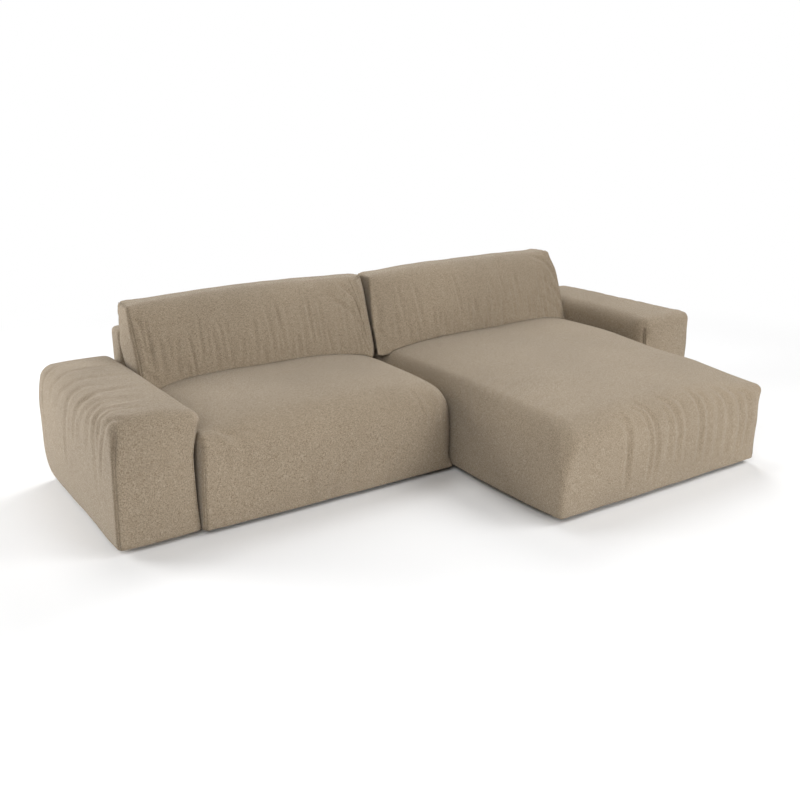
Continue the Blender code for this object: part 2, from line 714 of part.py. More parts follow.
def make_zip_tape(name, half_length, half_width, frame):
    """Both tapes as one flat strip, with the closed teeth as a ridge along its middle."""
    teeth = ZIP_TEETH_WIDTH / 2
    outline = [
        (-half_width, -ZIP_TAPE_THICKNESS),
        (half_width, -ZIP_TAPE_THICKNESS),
        (half_width, 0.0),
        (teeth, 0.0),
        (teeth, ZIP_TEETH_HEIGHT),
        (-teeth, ZIP_TEETH_HEIGHT),
        (-teeth, 0.0),
        (-half_width, 0.0),
    ]
    return solid(name, prism_mesh(outline, -half_length, half_length), frame, (0, 0, 0), ZIP_CLOTH)


def make_zip_slider(name, half_length, frame):
    """The slider at the closed end: it straddles the teeth, and its pull hangs down over the tape."""
    groove = ZIP_TEETH_WIDTH / 2 + CLEARANCE
    ceiling = ZIP_TEETH_HEIGHT + CLEARANCE
    top = ceiling + ZIP_SLIDER_ROOF
    side = ZIP_SLIDER_WIDTH / 2
    outline = [
        (-side, CLEARANCE),
        (-groove, CLEARANCE),
        (-groove, ceiling),
        (groove, ceiling),
        (groove, CLEARANCE),
        (side, CLEARANCE),
        (side, top),
        (-side, top),
    ]
    reach = ZIP_SLIDER_LENGTH / 2
    place = (half_length - ZIP_END_MARGIN - reach, 0, 0)
    slider = solid(name, prism_mesh(outline, -reach, reach), frame, place, ZIP_METAL)
    pull_low = (-ZIP_PULL_WIDTH / 2, 0.0, top - ZIP_PULL_SINK)
    pull_high = (ZIP_PULL_WIDTH / 2, ZIP_PULL_LENGTH, top - ZIP_PULL_SINK + ZIP_PULL_THICKNESS)
    pull = board(f"{name}_pull", pull_low, pull_high, frame, ZIP_METAL)
    pull.location += Vector(place)
    join(slider, hide_cutter(pull))
    return slider


def make_sofa():
    seat = seat_form(SEAT_FRONT_Y, SEAT_EDGE_HEIGHT, SEAT_CROWN, [])
    side_bulges = [
        (0, -1, CHAISE_SIDE_BULGE, CHAISE_FRONT_Y, SEAT_FRONT_Y - CHAISE_BULGE_END),
        (0, 1, CHAISE_SIDE_BULGE, CHAISE_FRONT_Y, ARM_FRONT_Y - CHAISE_BULGE_END),
    ]
    chaise = seat_form(CHAISE_FRONT_Y, CHAISE_EDGE_HEIGHT, CHAISE_CROWN, side_bulges)
    seat_module = empty("seat_module", (-SEAT_X, 0, 0))
    chaise_module = empty("chaise_module", (SEAT_X, 0, 0))
    seat_fineness = (SEAT_CELL_COUNTS, SEAT_INNER_CELL_COUNTS)
    seat_pieces = make_seat("seat", seat, SEAT_STRAPS, seat_fineness, seat_module)
    chaise_fineness = (CHAISE_CELL_COUNTS, CHAISE_INNER_CELL_COUNTS)
    chaise_pieces = make_seat("chaise", chaise, CHAISE_STRAPS, chaise_fineness, chaise_module)
    make_back("back_left", seat_module)
    make_back("back_right", chaise_module)
    left_arm_pieces = make_arm("arm_left", 1, empty("arm_left_module", (-ARM_X, 0, 0)))
    right_arm_pieces = make_arm("arm_right", -1, empty("arm_right_module", (ARM_X, 0, 0)))

    rail_reach = JOINT_PAD + RAIL_THICKNESS
    board_reach = JOINT_PAD + BOARD_THICKNESS
    joint = SEAT_WIDTH + CLEARANCE
    bolt_modules("arm_left", -joint, board_reach, rail_reach, left_arm_pieces + seat_pieces["left"])
    bolt_modules("centre", 0.0, rail_reach, rail_reach, seat_pieces["right"] + chaise_pieces["left"])
    bolt_modules("arm_right", joint, rail_reach, board_reach, chaise_pieces["right"] + right_arm_pieces)

    make_cushion("cushion_left", seat, SEAT_CELL_COUNTS, -SEAT_X)
    make_cushion("cushion_right", chaise, CHAISE_CELL_COUNTS, SEAT_X)


clear_scene()
make_sofa()
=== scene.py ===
"""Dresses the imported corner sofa: woven upholstery with crowned forms, seams and folds, procedural
materials, a pale floor, soft light and the camera. Metres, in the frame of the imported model."""

import json
import math
from dataclasses import dataclass, field

import bpy
import numpy as np
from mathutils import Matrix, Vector, noise
from mathutils.bvhtree import BVHTree
from mathutils.kdtree import KDTree


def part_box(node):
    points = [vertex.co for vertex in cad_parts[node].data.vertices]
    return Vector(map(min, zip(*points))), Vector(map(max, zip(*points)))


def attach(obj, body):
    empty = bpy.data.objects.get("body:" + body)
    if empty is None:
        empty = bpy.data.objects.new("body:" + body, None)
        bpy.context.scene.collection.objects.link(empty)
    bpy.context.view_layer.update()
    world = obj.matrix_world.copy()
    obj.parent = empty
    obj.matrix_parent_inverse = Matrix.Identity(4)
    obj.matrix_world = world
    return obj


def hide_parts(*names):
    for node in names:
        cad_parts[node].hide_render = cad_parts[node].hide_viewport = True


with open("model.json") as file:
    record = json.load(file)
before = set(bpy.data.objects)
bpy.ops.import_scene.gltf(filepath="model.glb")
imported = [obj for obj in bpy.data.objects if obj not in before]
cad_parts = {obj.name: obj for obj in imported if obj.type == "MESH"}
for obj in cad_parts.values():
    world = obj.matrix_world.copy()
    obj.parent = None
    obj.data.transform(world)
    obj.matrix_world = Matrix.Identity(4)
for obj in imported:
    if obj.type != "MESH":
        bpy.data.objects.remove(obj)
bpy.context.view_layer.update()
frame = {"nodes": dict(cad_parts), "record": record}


@dataclass
class CushionEnd:
    """One end of a back cushion: how far its rims are drawn in, how far its panel swells out, and the
    radius of its front edge. `top` is what its whole upper rim is drawn in besides, and `sag` how far
    its top hangs below the middle's."""

    sag: float
    edge: float
    top: float = 0.0
    front_top: float = 0.0
    front_low: float = 0.0
    rear: float = 0.0
    swell: float = 0.0


# Spacing of the upholstery meshes
SEAT_CELLS = (0.008, 0.012, 0.012)
ARM_CELLS = (0.012, 0.008, 0.012)
CUSHION_CELLS = (0.0055, 0.010, 0.010)
CUSHION_CLOTH_CELLS = (0.012, 0.012, 0.012)
BACK_CELLS = (0.016, 0.016, 0.016)
END_LINES = (0.0025, 0.0055, 0.0090)
CLOSEST_LINES = 0.0015
SEAT_MOUTH = 0.040
ARM_MOUTH = 0.066
HEM_LINE_GAP = 0.006

# Rounded edges of the upholstery
SEAM_EDGE = 0.012
FOOT_EDGE = 0.016
SIDE_FOOT_EDGE = 0.020
SEAT_TOP_EDGE = 0.105
SEAT_REAR_EDGE = 0.040
SEAT_BY_ARM_EDGE = 0.038
SEAT_OPEN_UPRIGHT = 0.085
CHAISE_OPEN_UPRIGHT = 0.022
CHAISE_OPEN_TOP_EDGE = 0.072
ARM_OUTER_EDGE = 0.060
ARM_FRONT_EDGE = 0.045
ARM_INNER_EDGE = 0.058
CORNER_EDGE = 0.020
ARM_REAR_EDGE = 0.045
ARM_REAR_UPRIGHT = 0.020
ARM_INNER_UPRIGHT = 0.014
BACK_EDGE = 0.026

# Where those edges change: from the first distance from a side's plane to the second
SEAT_TOP_BLEND = (0.22, 0.05)
SEAT_FOOT_BLEND = (0.06, 0.0)
SEAT_FRONT_BLEND = (0.35, 0.08)
SEAT_CORNER_BLEND = (0.30, 0.04)
BY_ARM_BLEND = (-0.20, 0.25)
ARM_TOP_BLEND = (0.20, 0.05)
ARM_FOOT_BLEND = (0.05, 0.0)
ARM_FRONT_BLEND = (0.30, 0.05)
ARM_CORNER_BLEND = (0.12, 0.03)
ARM_REAR_BLEND = (0.20, 0.02)
CUSHION_TOP_BLEND = (0.10, 0.03)

# Crowns and bulges
SEAT_CROWN = 0.085
CHAISE_CROWN = 0.070
SEAT_BY_ARM_LIFT = 0.022
LIFT_BLEND = (-0.25, 0.30)
FRONT_BULGE = 0.010
SIDE_BULGE = 0.018
BULGE_AT_RIMS = 0.45
ARM_BULGE = 0.016
ARM_WAIST = 0.015
RIGHT_ARM_WAIST = 0.018
WAIST_REACH = (0.050, 0.040)
FRONT_BELLY = 0.016
BULGE_STOP = 0.03
BELLY_STOP = 0.05
LEFT_ARM = {
    "crown": 0.020, "belly": (0.004, 0.026), "lean": (0.006, -0.010), "corner": 0.055, "gather": 1.1,
    "peak": (0.030, 0.034),
}
RIGHT_ARM = {
    "crown": 0.018, "belly": (0.004, 0.012), "lean": (0.016, 0.022), "corner": CORNER_EDGE, "gather": 0.35,
    "peak": (0.0, 0.0),
}
ARM_REAR_BELLY = 0.008
CROWN_POWER = 3.0
CORNER_DROP = 0.044
CORNER_REACH = 0.026
SEAT_CORNER_INSET = 0.016
NEAR_CORNER_DROP = 0.006
NEAR_CORNER_INSET = 0.026

# Back cushions
CUSHION_TOP_DEPTH = 0.130
CUSHION_LEAN = math.radians(19.5)
CUSHION_CROWN = 0.042
CUSHION_TOP_CROWN = 0.008
CUSHION_TAPER = 0.004
LEFT_CUSHION_ENDS = (
    CushionEnd(sag=0.010, edge=0.006, front_top=-0.008, rear=-0.004, swell=0.012),
    CushionEnd(sag=0.013, edge=0.006, front_top=0.066, front_low=0.056),
)
RIGHT_CUSHION_ENDS = (
    CushionEnd(sag=0.012, edge=0.050, front_top=-0.008, front_low=-0.044),
    CushionEnd(sag=-0.003, edge=0.008, top=0.026, front_low=-0.010, swell=0.008),
)
CUSHION_TUCK = 0.120
CUSHION_TUCK_HEIGHT = 0.200
CUSHION_BOTTOM = 0.425
CUSHION_EDGE = 0.045
CUSHION_END_EDGE = 0.016
CUSHION_TOP_CORNER = 0.014
CUSHION_REAR_CORNER = 0.026
CUSHION_REST_GAP = 0.0015
ZIP_RECESS = 0.004

# Seams and folds
SEAM_DEPTH = 0.0062
SEAM_RIDGE = 0.0020
HEM_HEIGHT = 0.009
SEAM_PLACE = 0.0055
SEAM_WIDTH = 0.0032
SEAM_FADE = 0.040
SEAT_SEAM_STOP = 0.100
ARM_SEAM_STOP = 0.030
PUCKER_DEPTH = 0.0022
PUCKER_REACH = 0.030
PUCKER_PITCH = 0.028
CUSHION_PUCKER_DEPTH = 0.0040
CUSHION_PUCKER_REACH = 0.040
PUCKER_START = 0.004
RIDGE_SPREAD = 1.4
ARM_FOLDS = {
    "count": 7, "seed": 11, "across": (0.08, 0.30), "down": (0.10, 0.38), "drift": (-0.02, 0.16),
    "depths": (0.0024, 0.0050),
}
ARM_FRONT_FOLDS = {
    "count": 6, "seed": 12, "across": (0.06, 0.20), "down": (0.08, 0.26), "drift": (0.03, 0.10),
    "depths": (0.0024, 0.0046),
}
CHAISE_EDGE_FOLDS = {
    "count": 12, "seed": 13, "across": (0.06, 0.22), "down": (0.05, 0.18), "drift": (-0.09, -0.02),
    "depths": (0.0016, 0.0038),
}
ARM_FOLD_MARGINS = (0.08, 0.12)
ARM_FRONT_FOLD_RUN = (0.05, 0.34)
CHAISE_FOLD_MARGIN = 0.08
EDGE_FOLD_WIDTHS = (0.014, 0.026)
FRONT_FOLD_WIDTHS = (0.013, 0.026)
FRONT_FOLD_STARTS = (0.02, 0.09)
CHAISE_FOLDS = {
    "count": 14, "seed": 5, "span": (0.24, 0.955), "stretch": (0.0, 0.88), "slant": 0.045,
    "depths": (0.0036, 0.0084),
}
SEAT_FOLDS = (
    {"count": 5, "seed": 8, "span": (0.02, 0.17), "stretch": (0.0, 0.40), "slant": 0.080,
     "depths": (0.0028, 0.0056)},
    {"count": 7, "seed": 9, "span": (0.38, 0.80), "stretch": (0.50, 0.95), "slant": -0.050,
     "depths": (0.0022, 0.0048)},
    {"count": 5, "seed": 10, "span": (0.83, 0.965), "stretch": (0.0, 0.50), "slant": 0.020,
     "depths": (0.0030, 0.0064)},
)
RIPPLE = 0.0022
RIPPLE_SIZE = 0.16
BACK_RIPPLE = 0.0012
CUSHION_RIPPLE = 0.0030
CUSHION_RIPPLE_SIZE = 0.11

# Crease across an arm's front panel: places (share of the width, height above its level), width and depth
PANEL_CREASE_LEVEL = 0.58
PANEL_CREASE = (((0.10, 0.0), (0.50, 0.008), (0.97, -0.006)), 0.014, 0.0050)

# Fine upright creases of the back cushions
CREASE_COUNT = 34
CREASE_MARGIN = 0.04
CREASE_STARTS = (0.02, 0.14)
CREASE_LENGTHS = (0.08, 0.26)
CREASE_LEANS = (-0.015, 0.025)
CREASE_WIDTHS = (0.008, 0.015)
CREASE_DEPTHS = (0.0030, 0.0064)

# Gathers of the back cushions: places (share of the half width, share of the height), width and depth
LEFT_CUSHION_GATHERS = (
    (((0.70, 0.96), (0.86, 0.74), (0.95, 0.42), (0.97, 0.20)), 0.012, 0.0071),
    (((0.82, 0.98), (0.93, 0.78), (0.985, 0.50)), 0.010, 0.0068),
    (((0.56, 0.86), (0.76, 0.62), (0.88, 0.34)), 0.015, 0.0044),
    (((0.80, 0.40), (0.90, 0.22), (0.97, 0.08)), 0.012, 0.0051),
    (((-0.985, 0.86), (-0.92, 0.78), (-0.84, 0.76)), 0.010, 0.0044),
    (((-0.985, 0.58), (-0.93, 0.50), (-0.86, 0.44)), 0.012, 0.0048),
    (((-0.985, 0.34), (-0.94, 0.24), (-0.88, 0.14)), 0.012, 0.0051),
    (((-0.95, 0.92), (-0.90, 0.60), (-0.91, 0.30)), 0.016, 0.0037),
)
RIGHT_CUSHION_GATHERS = (
    (((-0.975, 0.90), (-0.940, 0.58), (-0.965, 0.22)), 0.014, 0.0042),
    (((-0.975, 0.40), (-0.920, 0.24), (-0.880, 0.16)), 0.011, 0.0040),
    (((-0.940, 0.20), (-0.860, 0.12), (-0.790, 0.14)), 0.012, 0.0036),
    (((0.72, 0.97), (0.88, 0.88), (0.955, 0.70), (0.985, 0.48)), 0.013, 0.0071),
    (((0.60, 0.50), (0.84, 0.34), (0.97, 0.14)), 0.016, 0.0051),
    (((0.80, 0.66), (0.92, 0.50), (0.98, 0.30)), 0.012, 0.0051),
)

# Cloth pass: the covers settle over their filling, held to their form by the soft pin or more firmly
CLOTH_SETTINGS = {
    "quality": 4, "mass": 0.4, "tension_stiffness": 20, "compression_stiffness": 20, "shear_stiffness": 6,
    "bending_stiffness": 0.8, "air_damping": 2, "use_pressure": True, "uniform_pressure_force": 4.0,
}
CLOTH_FRAMES = 20
CLOTH_SOFT_PIN = 0.25
CLOTH_CAP = 0.024
CLOTH_REST_BLEND = (0.06, 0.01)
CLOTH_REAR_BLEND = (-0.05, -0.005)
CLOTH_SEAM_BLEND = (0.009, 0.003)
ZIP_MARGIN = 0.012

# Camera, fitted to the photograph's straight edges
CAMERA_PLACE = (-2.618, -3.505, 1.745)
CAMERA_YAW = math.radians(34.34)
CAMERA_PITCH = math.radians(18.05)
CAMERA_LENS = 43.89
CAMERA_SENSOR = 36.0

# Light: wide discs on a dome round the object, each with its compass angle, its height and its power
WORLD_STRENGTH = 0.05
LIGHT_AIM = Vector((0.0, 0.0, 0.3))
LIGHT_DISTANCE = 6.0
LIGHT_SIZE = 3.0
STUDIO_LIGHTS = {
    "top": (90, 70, 105.0),
    "left": (139, 13, 268.0),
    "right": (45, 40, 135.0),
    "front": (286, 13, 140.0),
    "front_left": (225, 35, 130.0),
    "front_right": (315, 40, 140.0),
}

# Fabric: its fuzz, its flecks, plain ones and threads along each axis with their shares, and its patches
FUZZ = {
    "Sheen Weight": 0.25, "Sheen Roughness": 0.5, "Sheen Tint": (1.0, 0.94, 0.86),
    "Specular IOR Level": 0.12,
}
FLECK_SCALE = 430.0
PLAIN_FLECKS = 0.34
THREAD_FLECKS = (((0.22, 1.0, 1.0), 0.22), ((1.0, 0.22, 1.0), 0.18), ((1.0, 1.0, 0.22), 0.26))
FLECK_COLOURS = (
    (0.38, (0.202, 0.152, 0.098)),
    (0.50, (0.303, 0.241, 0.169)),
    (0.62, (0.418, 0.347, 0.262)),
)
FLECK_CONTRAST = 1.30
# Share of the fleck contrast lost on faces that look up: painted light, the washed-out look that light
# gives the tops
PAINTED_TOP_CONTRAST_LOSS = 0.15
PATCH_SCALE = 2.2
PATCH_SHADES = ((0.3, (0.94, 0.94, 0.94)), (0.7, (1.05, 1.05, 1.05)))
WEAVE_SCALE = 150.0
WEAVE_HEIGHT = 0.45
FLECK_HEIGHT = 4.0

# Floor: white paper that fades into a plain white backdrop
FLOOR_HALF = 14.0
FLOOR_ALBEDO = 0.90
FADE_START = 2.4
FADE_END = 4.2


def smoothstep(value, start, stop):
    share = np.clip((value - start) / (stop - start), 0.0, 1.0)
    return share * share * (3 - 2 * share)


def lerp(first, second, share):
    return first + (second - first) * share


def lattice_lines(low, high, cell, extra=()):
    """Line places over one side of a box: even cells, with closer lines at the ends and where asked."""
    count = max(2, round((high - low) / cell))
    places = list(np.linspace(low, high, count + 1))
    for offset in END_LINES:
        places += [low + offset, high - offset]
    places += [place for place in extra if low < place < high]
    kept = []
    for place in sorted(places):
        if not kept or place - kept[-1] > CLOSEST_LINES:
            kept.append(place)
    kept[-1] = high
    return np.array(kept)


def box_lattice(lines):
    """Points on the six sides of a box and the outward quads that join them."""
    counts = tuple(len(line) for line in lines)
    quads = []
    for axis in range(3):
        first = (axis + 1) % 3
        second = (axis + 2) % 3
        across, along = np.meshgrid(
            np.arange(counts[first] - 1), np.arange(counts[second] - 1), indexing="ij"
        )
        for end in (0, counts[axis] - 1):
            corners = []
            for step_first, step_second in ((0, 0), (1, 0), (1, 1), (0, 1)):
                index = [None, None, None]
                index[axis] = np.full(across.shape, end)
                index[first] = across + step_first
                index[second] = along + step_second
                corners.append(np.ravel_multi_index(index, counts).ravel())
            quad = np.stack(corners, axis=1)
            quads.append(quad if end else quad[:, ::-1])
    keys, quads = np.unique(np.concatenate(quads), return_inverse=True)
    index = np.unravel_index(keys, counts)
    places = np.stack([lines[axis][index[axis]] for axis in range(3)], axis=1)
    return places, quads.reshape(-1, 4)


def rounded(places, low, high, radii_low, radii_high):
    """Where the points of a sharp box's sides lie once its edges are rounded, by each point's own radii."""
    inner_low = low + radii_low
    inner_high = high - radii_high
    centres = np.minimum(np.maximum(places, inner_low), inner_high)
    radii = np.where(places < centres, radii_low, radii_high)
    reach = (places - centres) / radii
    length = np.linalg.norm(reach, axis=1, keepdims=True)
    return centres + radii * reach / np.maximum(length, 1e-9)


@dataclass
class Block:
    """A soft box. `low` and `high` are its planes at the corners; bulges and crown come on top.
    A bulge is (axis, end, amount, start, stop) and fades out at both of its ends. A belly is
    (axis, end, first, last, start, stop): it fills out most of a side's height, by `first` metres at
    `start` and by `last` at `stop`. A raised side is (end, amount, start): it lifts the top beside an
    arm. A corner is (end, drop, reach): the upper front corner at that end hangs lower and stands out
    further, or further in where the reach is negative."""

    low: np.ndarray
    high: np.ndarray
    radii: object
    crown: float = 0.0
    bulges: list = field(default_factory=list)
    bellies: list = field(default_factory=list)
    raised_side: tuple = (1, 0.0, 0.0)
    corners: list = field(default_factory=list)

    def share(self, points):
        return (points - (self.low + self.high) / 2) / ((self.high - self.low) / 2)

    def side(self, end):
        """Where the left or the right side lies."""
        return self.low[0] if end < 0 else self.high[0]

    def form(self, places):
        radii_low, radii_high = self.radii(self, places)
        points = rounded(places, self.low, self.high, radii_low, radii_high)
        share = self.share(points)
        level = (share[:, 2] + 1) / 2
        for axis, end, amount, start, stop in self.bulges:
            run = (points[:, 1 - axis] - (start + stop) / 2) / ((stop - start) / 2)
            rise = lerp(BULGE_AT_RIMS, 1.0, 4 * level * (1 - level))
            outward = np.maximum(share[:, axis] * end, 0.0)
            points[:, axis] += end * amount * outward * np.maximum(0.0, 1 - run * run) * rise
        full = 1 - (2 * np.clip(level, 0.0, 1.0) - 1) ** 4
        for axis, end, first, last, start, stop in self.bellies:
            run = np.clip((points[:, 1 - axis] - start) / (stop - start), 0.0, 1.0)
            outward = np.maximum(share[:, axis] * end, 0.0) ** 2
            points[:, axis] += end * lerp(first, last, run) * outward * full
        end, amount, start = self.raised_side
        beside = smoothstep(share[:, 0] * end, 0.1, 0.9)
        beside *= smoothstep(points[:, 1] - start, *LIFT_BLEND)
        points[:, 2] += amount * beside * level**2
        for end, drop, reach in self.corners:
            near = smoothstep(share[:, 0] * end, 0.2, 1.0) * smoothstep(share[:, 1], -0.55, -1.0)
            near *= level**2
            points[:, 2] -= drop * near
            points[:, 0] += end * reach * near
        crown = (1 - np.abs(share[:, 0]) ** CROWN_POWER) * (1 - np.abs(share[:, 1]) ** CROWN_POWER)
        points[:, 2] += self.crown * np.maximum(crown, 0.0) * level * level
        return points


def even_radii(size):
    def radii(block, places):
        same = np.full_like(places, size)
        return same, same
    return radii


def seat_radii(arm_end, arm_front, open_upright, open_top):
    """Large soft edges at the top, smaller beside the arm, over a sewn upright on the arm's side
    and a soft one on the open side."""
    def radii(block, places):
        _, y, z = places.T
        across = block.share(places)[:, 0] * arm_end
        near_top = smoothstep(block.high[2] - z, *SEAT_TOP_BLEND)
        near_foot = smoothstep(z - block.low[2], *SEAT_FOOT_BLEND)
        near_front = smoothstep(y - block.low[1], *SEAT_FRONT_BLEND)
        at_front = smoothstep(y - block.low[1], *SEAT_CORNER_BLEND)
        by_arm = smoothstep(y - arm_front, *BY_ARM_BLEND)
        to_arm = smoothstep(across, -0.2, 0.4)
        top = lerp(SEAT_TOP_EDGE, SEAT_BY_ARM_EDGE, by_arm * to_arm)
        open_low = lerp(SEAM_EDGE, open_upright, near_front)
        open_side = lerp(lerp(open_low, open_top, near_top), SIDE_FOOT_EDGE, near_foot)
        corner = smoothstep(across, 0.70, 1.0) * at_front
        top = lerp(top, 2 * CORNER_EDGE, corner)
        arm_side = lerp(lerp(SEAT_TOP_EDGE, SEAT_BY_ARM_EDGE, by_arm), CORNER_EDGE, at_front)
        arm_side = lerp(lerp(SEAM_EDGE, arm_side, near_top), FOOT_EDGE, near_foot)
        front_low = lerp(open_upright, SEAM_EDGE, to_arm)
        front_foot = lerp(SIDE_FOOT_EDGE, FOOT_EDGE, to_arm)
        front_top = lerp(SEAT_TOP_EDGE, 2 * CORNER_EDGE, corner)
        front = lerp(lerp(front_low, front_top, near_top), front_foot, near_foot)
        rear = lerp(SEAM_EDGE, SEAT_REAR_EDGE, near_top)
        left, right = (open_side, arm_side) if arm_end > 0 else (arm_side, open_side)
        radii_low = np.stack([left, front, np.full_like(z, FOOT_EDGE)], axis=1)
        radii_high = np.stack([right, rear, top], axis=1)
        return radii_low, radii_high
    return radii


def arm_radii(inner_side, outer_corner):
    """A wide soft roll along the outer top edge, closer edges round the front panel."""
    def radii(block, places):
        _, y, z = places.T
        outward = (block.share(places)[:, 0] * -inner_side + 1) / 2
        near_front = smoothstep(y - block.low[1], *ARM_FRONT_BLEND)
        at_front = smoothstep(y - block.low[1], *ARM_CORNER_BLEND)
        near_rear = smoothstep(block.high[1] - y, *ARM_REAR_BLEND)
        near_top = smoothstep(block.high[2] - z, *ARM_TOP_BLEND)
        near_foot = smoothstep(z - block.low[2], *ARM_FOOT_BLEND)
        roll = lerp(lerp(ARM_OUTER_EDGE, ARM_FRONT_EDGE, near_front), ARM_REAR_EDGE, near_rear)
        top = lerp(ARM_INNER_EDGE, roll, outward)
        outer_upright = lerp(SEAM_EDGE, ARM_REAR_UPRIGHT, near_rear)
        inner_upright = lerp(ARM_INNER_UPRIGHT, ARM_REAR_UPRIGHT, near_rear)
        outer_top = lerp(roll, outer_corner, at_front)
        inner_top = lerp(ARM_INNER_EDGE, 2 * CORNER_EDGE, at_front)
        outer = lerp(lerp(outer_upright, outer_top, near_top), SIDE_FOOT_EDGE, near_foot)
        inner = lerp(lerp(inner_upright, inner_top, near_top), FOOT_EDGE, near_foot)
        front_upright = lerp(ARM_INNER_UPRIGHT, SEAM_EDGE, outward)
        front = lerp(lerp(front_upright, ARM_FRONT_EDGE, near_top), FOOT_EDGE, near_foot)
        rear = lerp(lerp(ARM_REAR_UPRIGHT, ARM_REAR_EDGE, near_top), FOOT_EDGE, near_foot)
        foot = lerp(FOOT_EDGE, SIDE_FOOT_EDGE, outward)
        low_x, high_x = (outer, inner) if inner_side > 0 else (inner, outer)
        radii_low = np.stack([low_x, front, foot], axis=1)
        radii_high = np.stack([high_x, rear, top], axis=1)
        return radii_low, radii_high
    return radii


def point_normals(points, quads):
    corners = points[quads]
    across = corners[:, 2] - corners[:, 0]
    along = corners[:, 3] - corners[:, 1]
    faces = np.cross(across, along)
    normals = np.zeros_like(points)
    for corner in range(4):
        np.add.at(normals, quads[:, corner], faces)
    return normals / np.maximum(np.linalg.norm(normals, axis=1, keepdims=True), 1e-12)


def noise_field(points, size, seed):
    offset = Vector((seed * 7.3, seed * 3.1, seed * 5.7))
    return np.array([noise.noise(Vector(point) / size + offset) for point in points])


def distance_to_path(points, path):
    """Distance of each point from a path, and how far along the path its nearest place is (0 to 1)."""
    path = np.asarray(path, float)
    lengths = np.linalg.norm(np.diff(path, axis=0), axis=1)
    travelled = np.concatenate([[0.0], np.cumsum(lengths)])
    best = np.full(len(points), np.inf)
    along = np.zeros(len(points))
    for index, length in enumerate(lengths):
        step = (path[index + 1] - path[index]) / length
        run = np.clip((points - path[index]) @ step, 0.0, length)
        gap = np.linalg.norm(points - path[index] - run[:, None] * step, axis=1)
        closer = gap < best
        best = np.where(closer, gap, best)
        along = np.where(closer, (travelled[index] + run) / travelled[-1], along)
    return best, along


def fold_depth(points, path, width, depth):
    """A soft valley between two low ridges along the path, fading out at both of its ends."""
    gap, along = distance_to_path(points, path)
    across = (gap / width) ** 2
    fade = 1 - (2 * np.clip(along, 0.0, 1.0) - 1) ** 4
    return -depth * (1 - across) * np.exp(-across / RIDGE_SPREAD) * fade


def fold_depths(points, folds, strength=1.0):
    return sum(fold_depth(points, path, width, depth * strength) for path, width, depth in folds)


def sewn_edge(distance, active=1.0):
    """A sewn edge: a thin ridge where two panels meet, with the cloth drawn in on both sides of it."""
    ridge = SEAM_RIDGE * np.exp(-((distance / SEAM_WIDTH) ** 2))
    drawn_in = SEAM_DEPTH * np.exp(-(((distance - SEAM_PLACE) / SEAM_WIDTH) ** 2))
    return (ridge - drawn_in) * active


def pucker_depth(points, distance, seed, reach=PUCKER_REACH, depth=PUCKER_DEPTH):
    """Small gathers beside a seam."""
    wave = noise_field(points, PUCKER_PITCH, seed)
    beside = np.exp(-((distance / reach) ** 2)) * (1 - np.exp(-((distance / PUCKER_START) ** 2)))
    return depth * wave * beside


def add_object(name, data):
    made = bpy.data.objects.new(name, data)
    bpy.context.scene.collection.objects.link(made)
    return made


def add_mesh(name, points, quads):
    mesh = bpy.data.meshes.new(name)
    mesh.from_pydata(points.tolist(), [], quads.tolist())
    return add_object(name, mesh)


def upholstery(name, points, quads, body, *nodes):
    """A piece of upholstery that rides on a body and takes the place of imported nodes."""
    made = add_mesh(name, points, quads)
    made.data.validate()
    made.data.shade_smooth()
    made.data.materials.append(MATERIALS["woven_fabric"])
    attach(made, body)
    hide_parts(*nodes)
    return made


def without_underside(points, quads, low, high, mouth):
    """Opens the underside within its hem, and keeps only the points that quads use, and their keys."""
    middles = points[quads].mean(axis=1)
    under = middles[:, 2] < low[2] + FOOT_EDGE * 0.5
    inside = under & (middles[:, 0] > low[0] + mouth) & (middles[:, 0] < high[0] - mouth)
    inside &= (middles[:, 1] > low[1] + mouth) & (middles[:, 1] < high[1] - mouth)
    keys, quads = np.unique(quads[~inside], return_inverse=True)
    return points[keys], quads.reshape(-1, 4), keys


def hem_lines(low, high, mouth):
    return (low + mouth, low + mouth - HEM_LINE_GAP, high - mouth, high - mouth + HEM_LINE_GAP)


def node_box(node):
    low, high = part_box(node)
    return np.array(low), np.array(high)


def block_mesh(block, cells, mouth=0.0):
    """The dense mesh of a block: its sharp places, its formed points and its quads."""
    lines = []
    for axis in range(3):
        extra = hem_lines(block.low[axis], block.high[axis], mouth) if mouth and axis < 2 else ()
        lines.append(lattice_lines(block.low[axis], block.high[axis], cells[axis], extra))
    places, quads = box_lattice(lines)
    points = block.form(places)
    if mouth:
        points, quads, keys = without_underside(points, quads, block.low, block.high, mouth)
        places = places[keys]
    return places, points, quads


def sewn_uprights(block, places, points, ends, stop, seed):
    """The seams up a block's front edges at the given ends, which fade out `stop` below its top."""
    top = block.high[2] - stop
    active = 1 - smoothstep(places[:, 2], top - SEAM_FADE, top)
    depth = 0.0
    for end in ends:
        beside = np.abs(places[:, 0] - block.side(end))
        distance = np.maximum(beside, np.abs(places[:, 1] - block.low[1]))
        depth = depth + sewn_edge(distance, active) + pucker_depth(points, distance, seed) * active
    return depth


def ripples(points, seed, size=RIPPLE_SIZE, depth=RIPPLE):
    return depth * noise_field(points, size, seed)


def draw_in(low, high, bulges, crown):
    """Moves a box's planes in, by as much as its bulges and its crown stand out."""
    for axis, end, amount, _, _ in bulges:
        if end < 0:
            low[axis] += amount
        else:
            high[axis] -= amount
    high[2] -= crown


def seat_block(node, crown, arm_end, open_upright, open_top, side_bulges, bellies):
    low, high = node_box(node)
    arm_front = node_box("arm_right_cover")[0][1]
    draw_in(low, high, side_bulges, crown)
    bulges = [(1, -1, FRONT_BULGE, low[0], high[0]), *side_bulges]
    low[1] += FRONT_BULGE
    radii = seat_radii(arm_end, arm_front, open_upright, open_top)
    return Block(low, high, radii, crown, bulges, bellies, (arm_end, SEAT_BY_ARM_LIFT, arm_front))


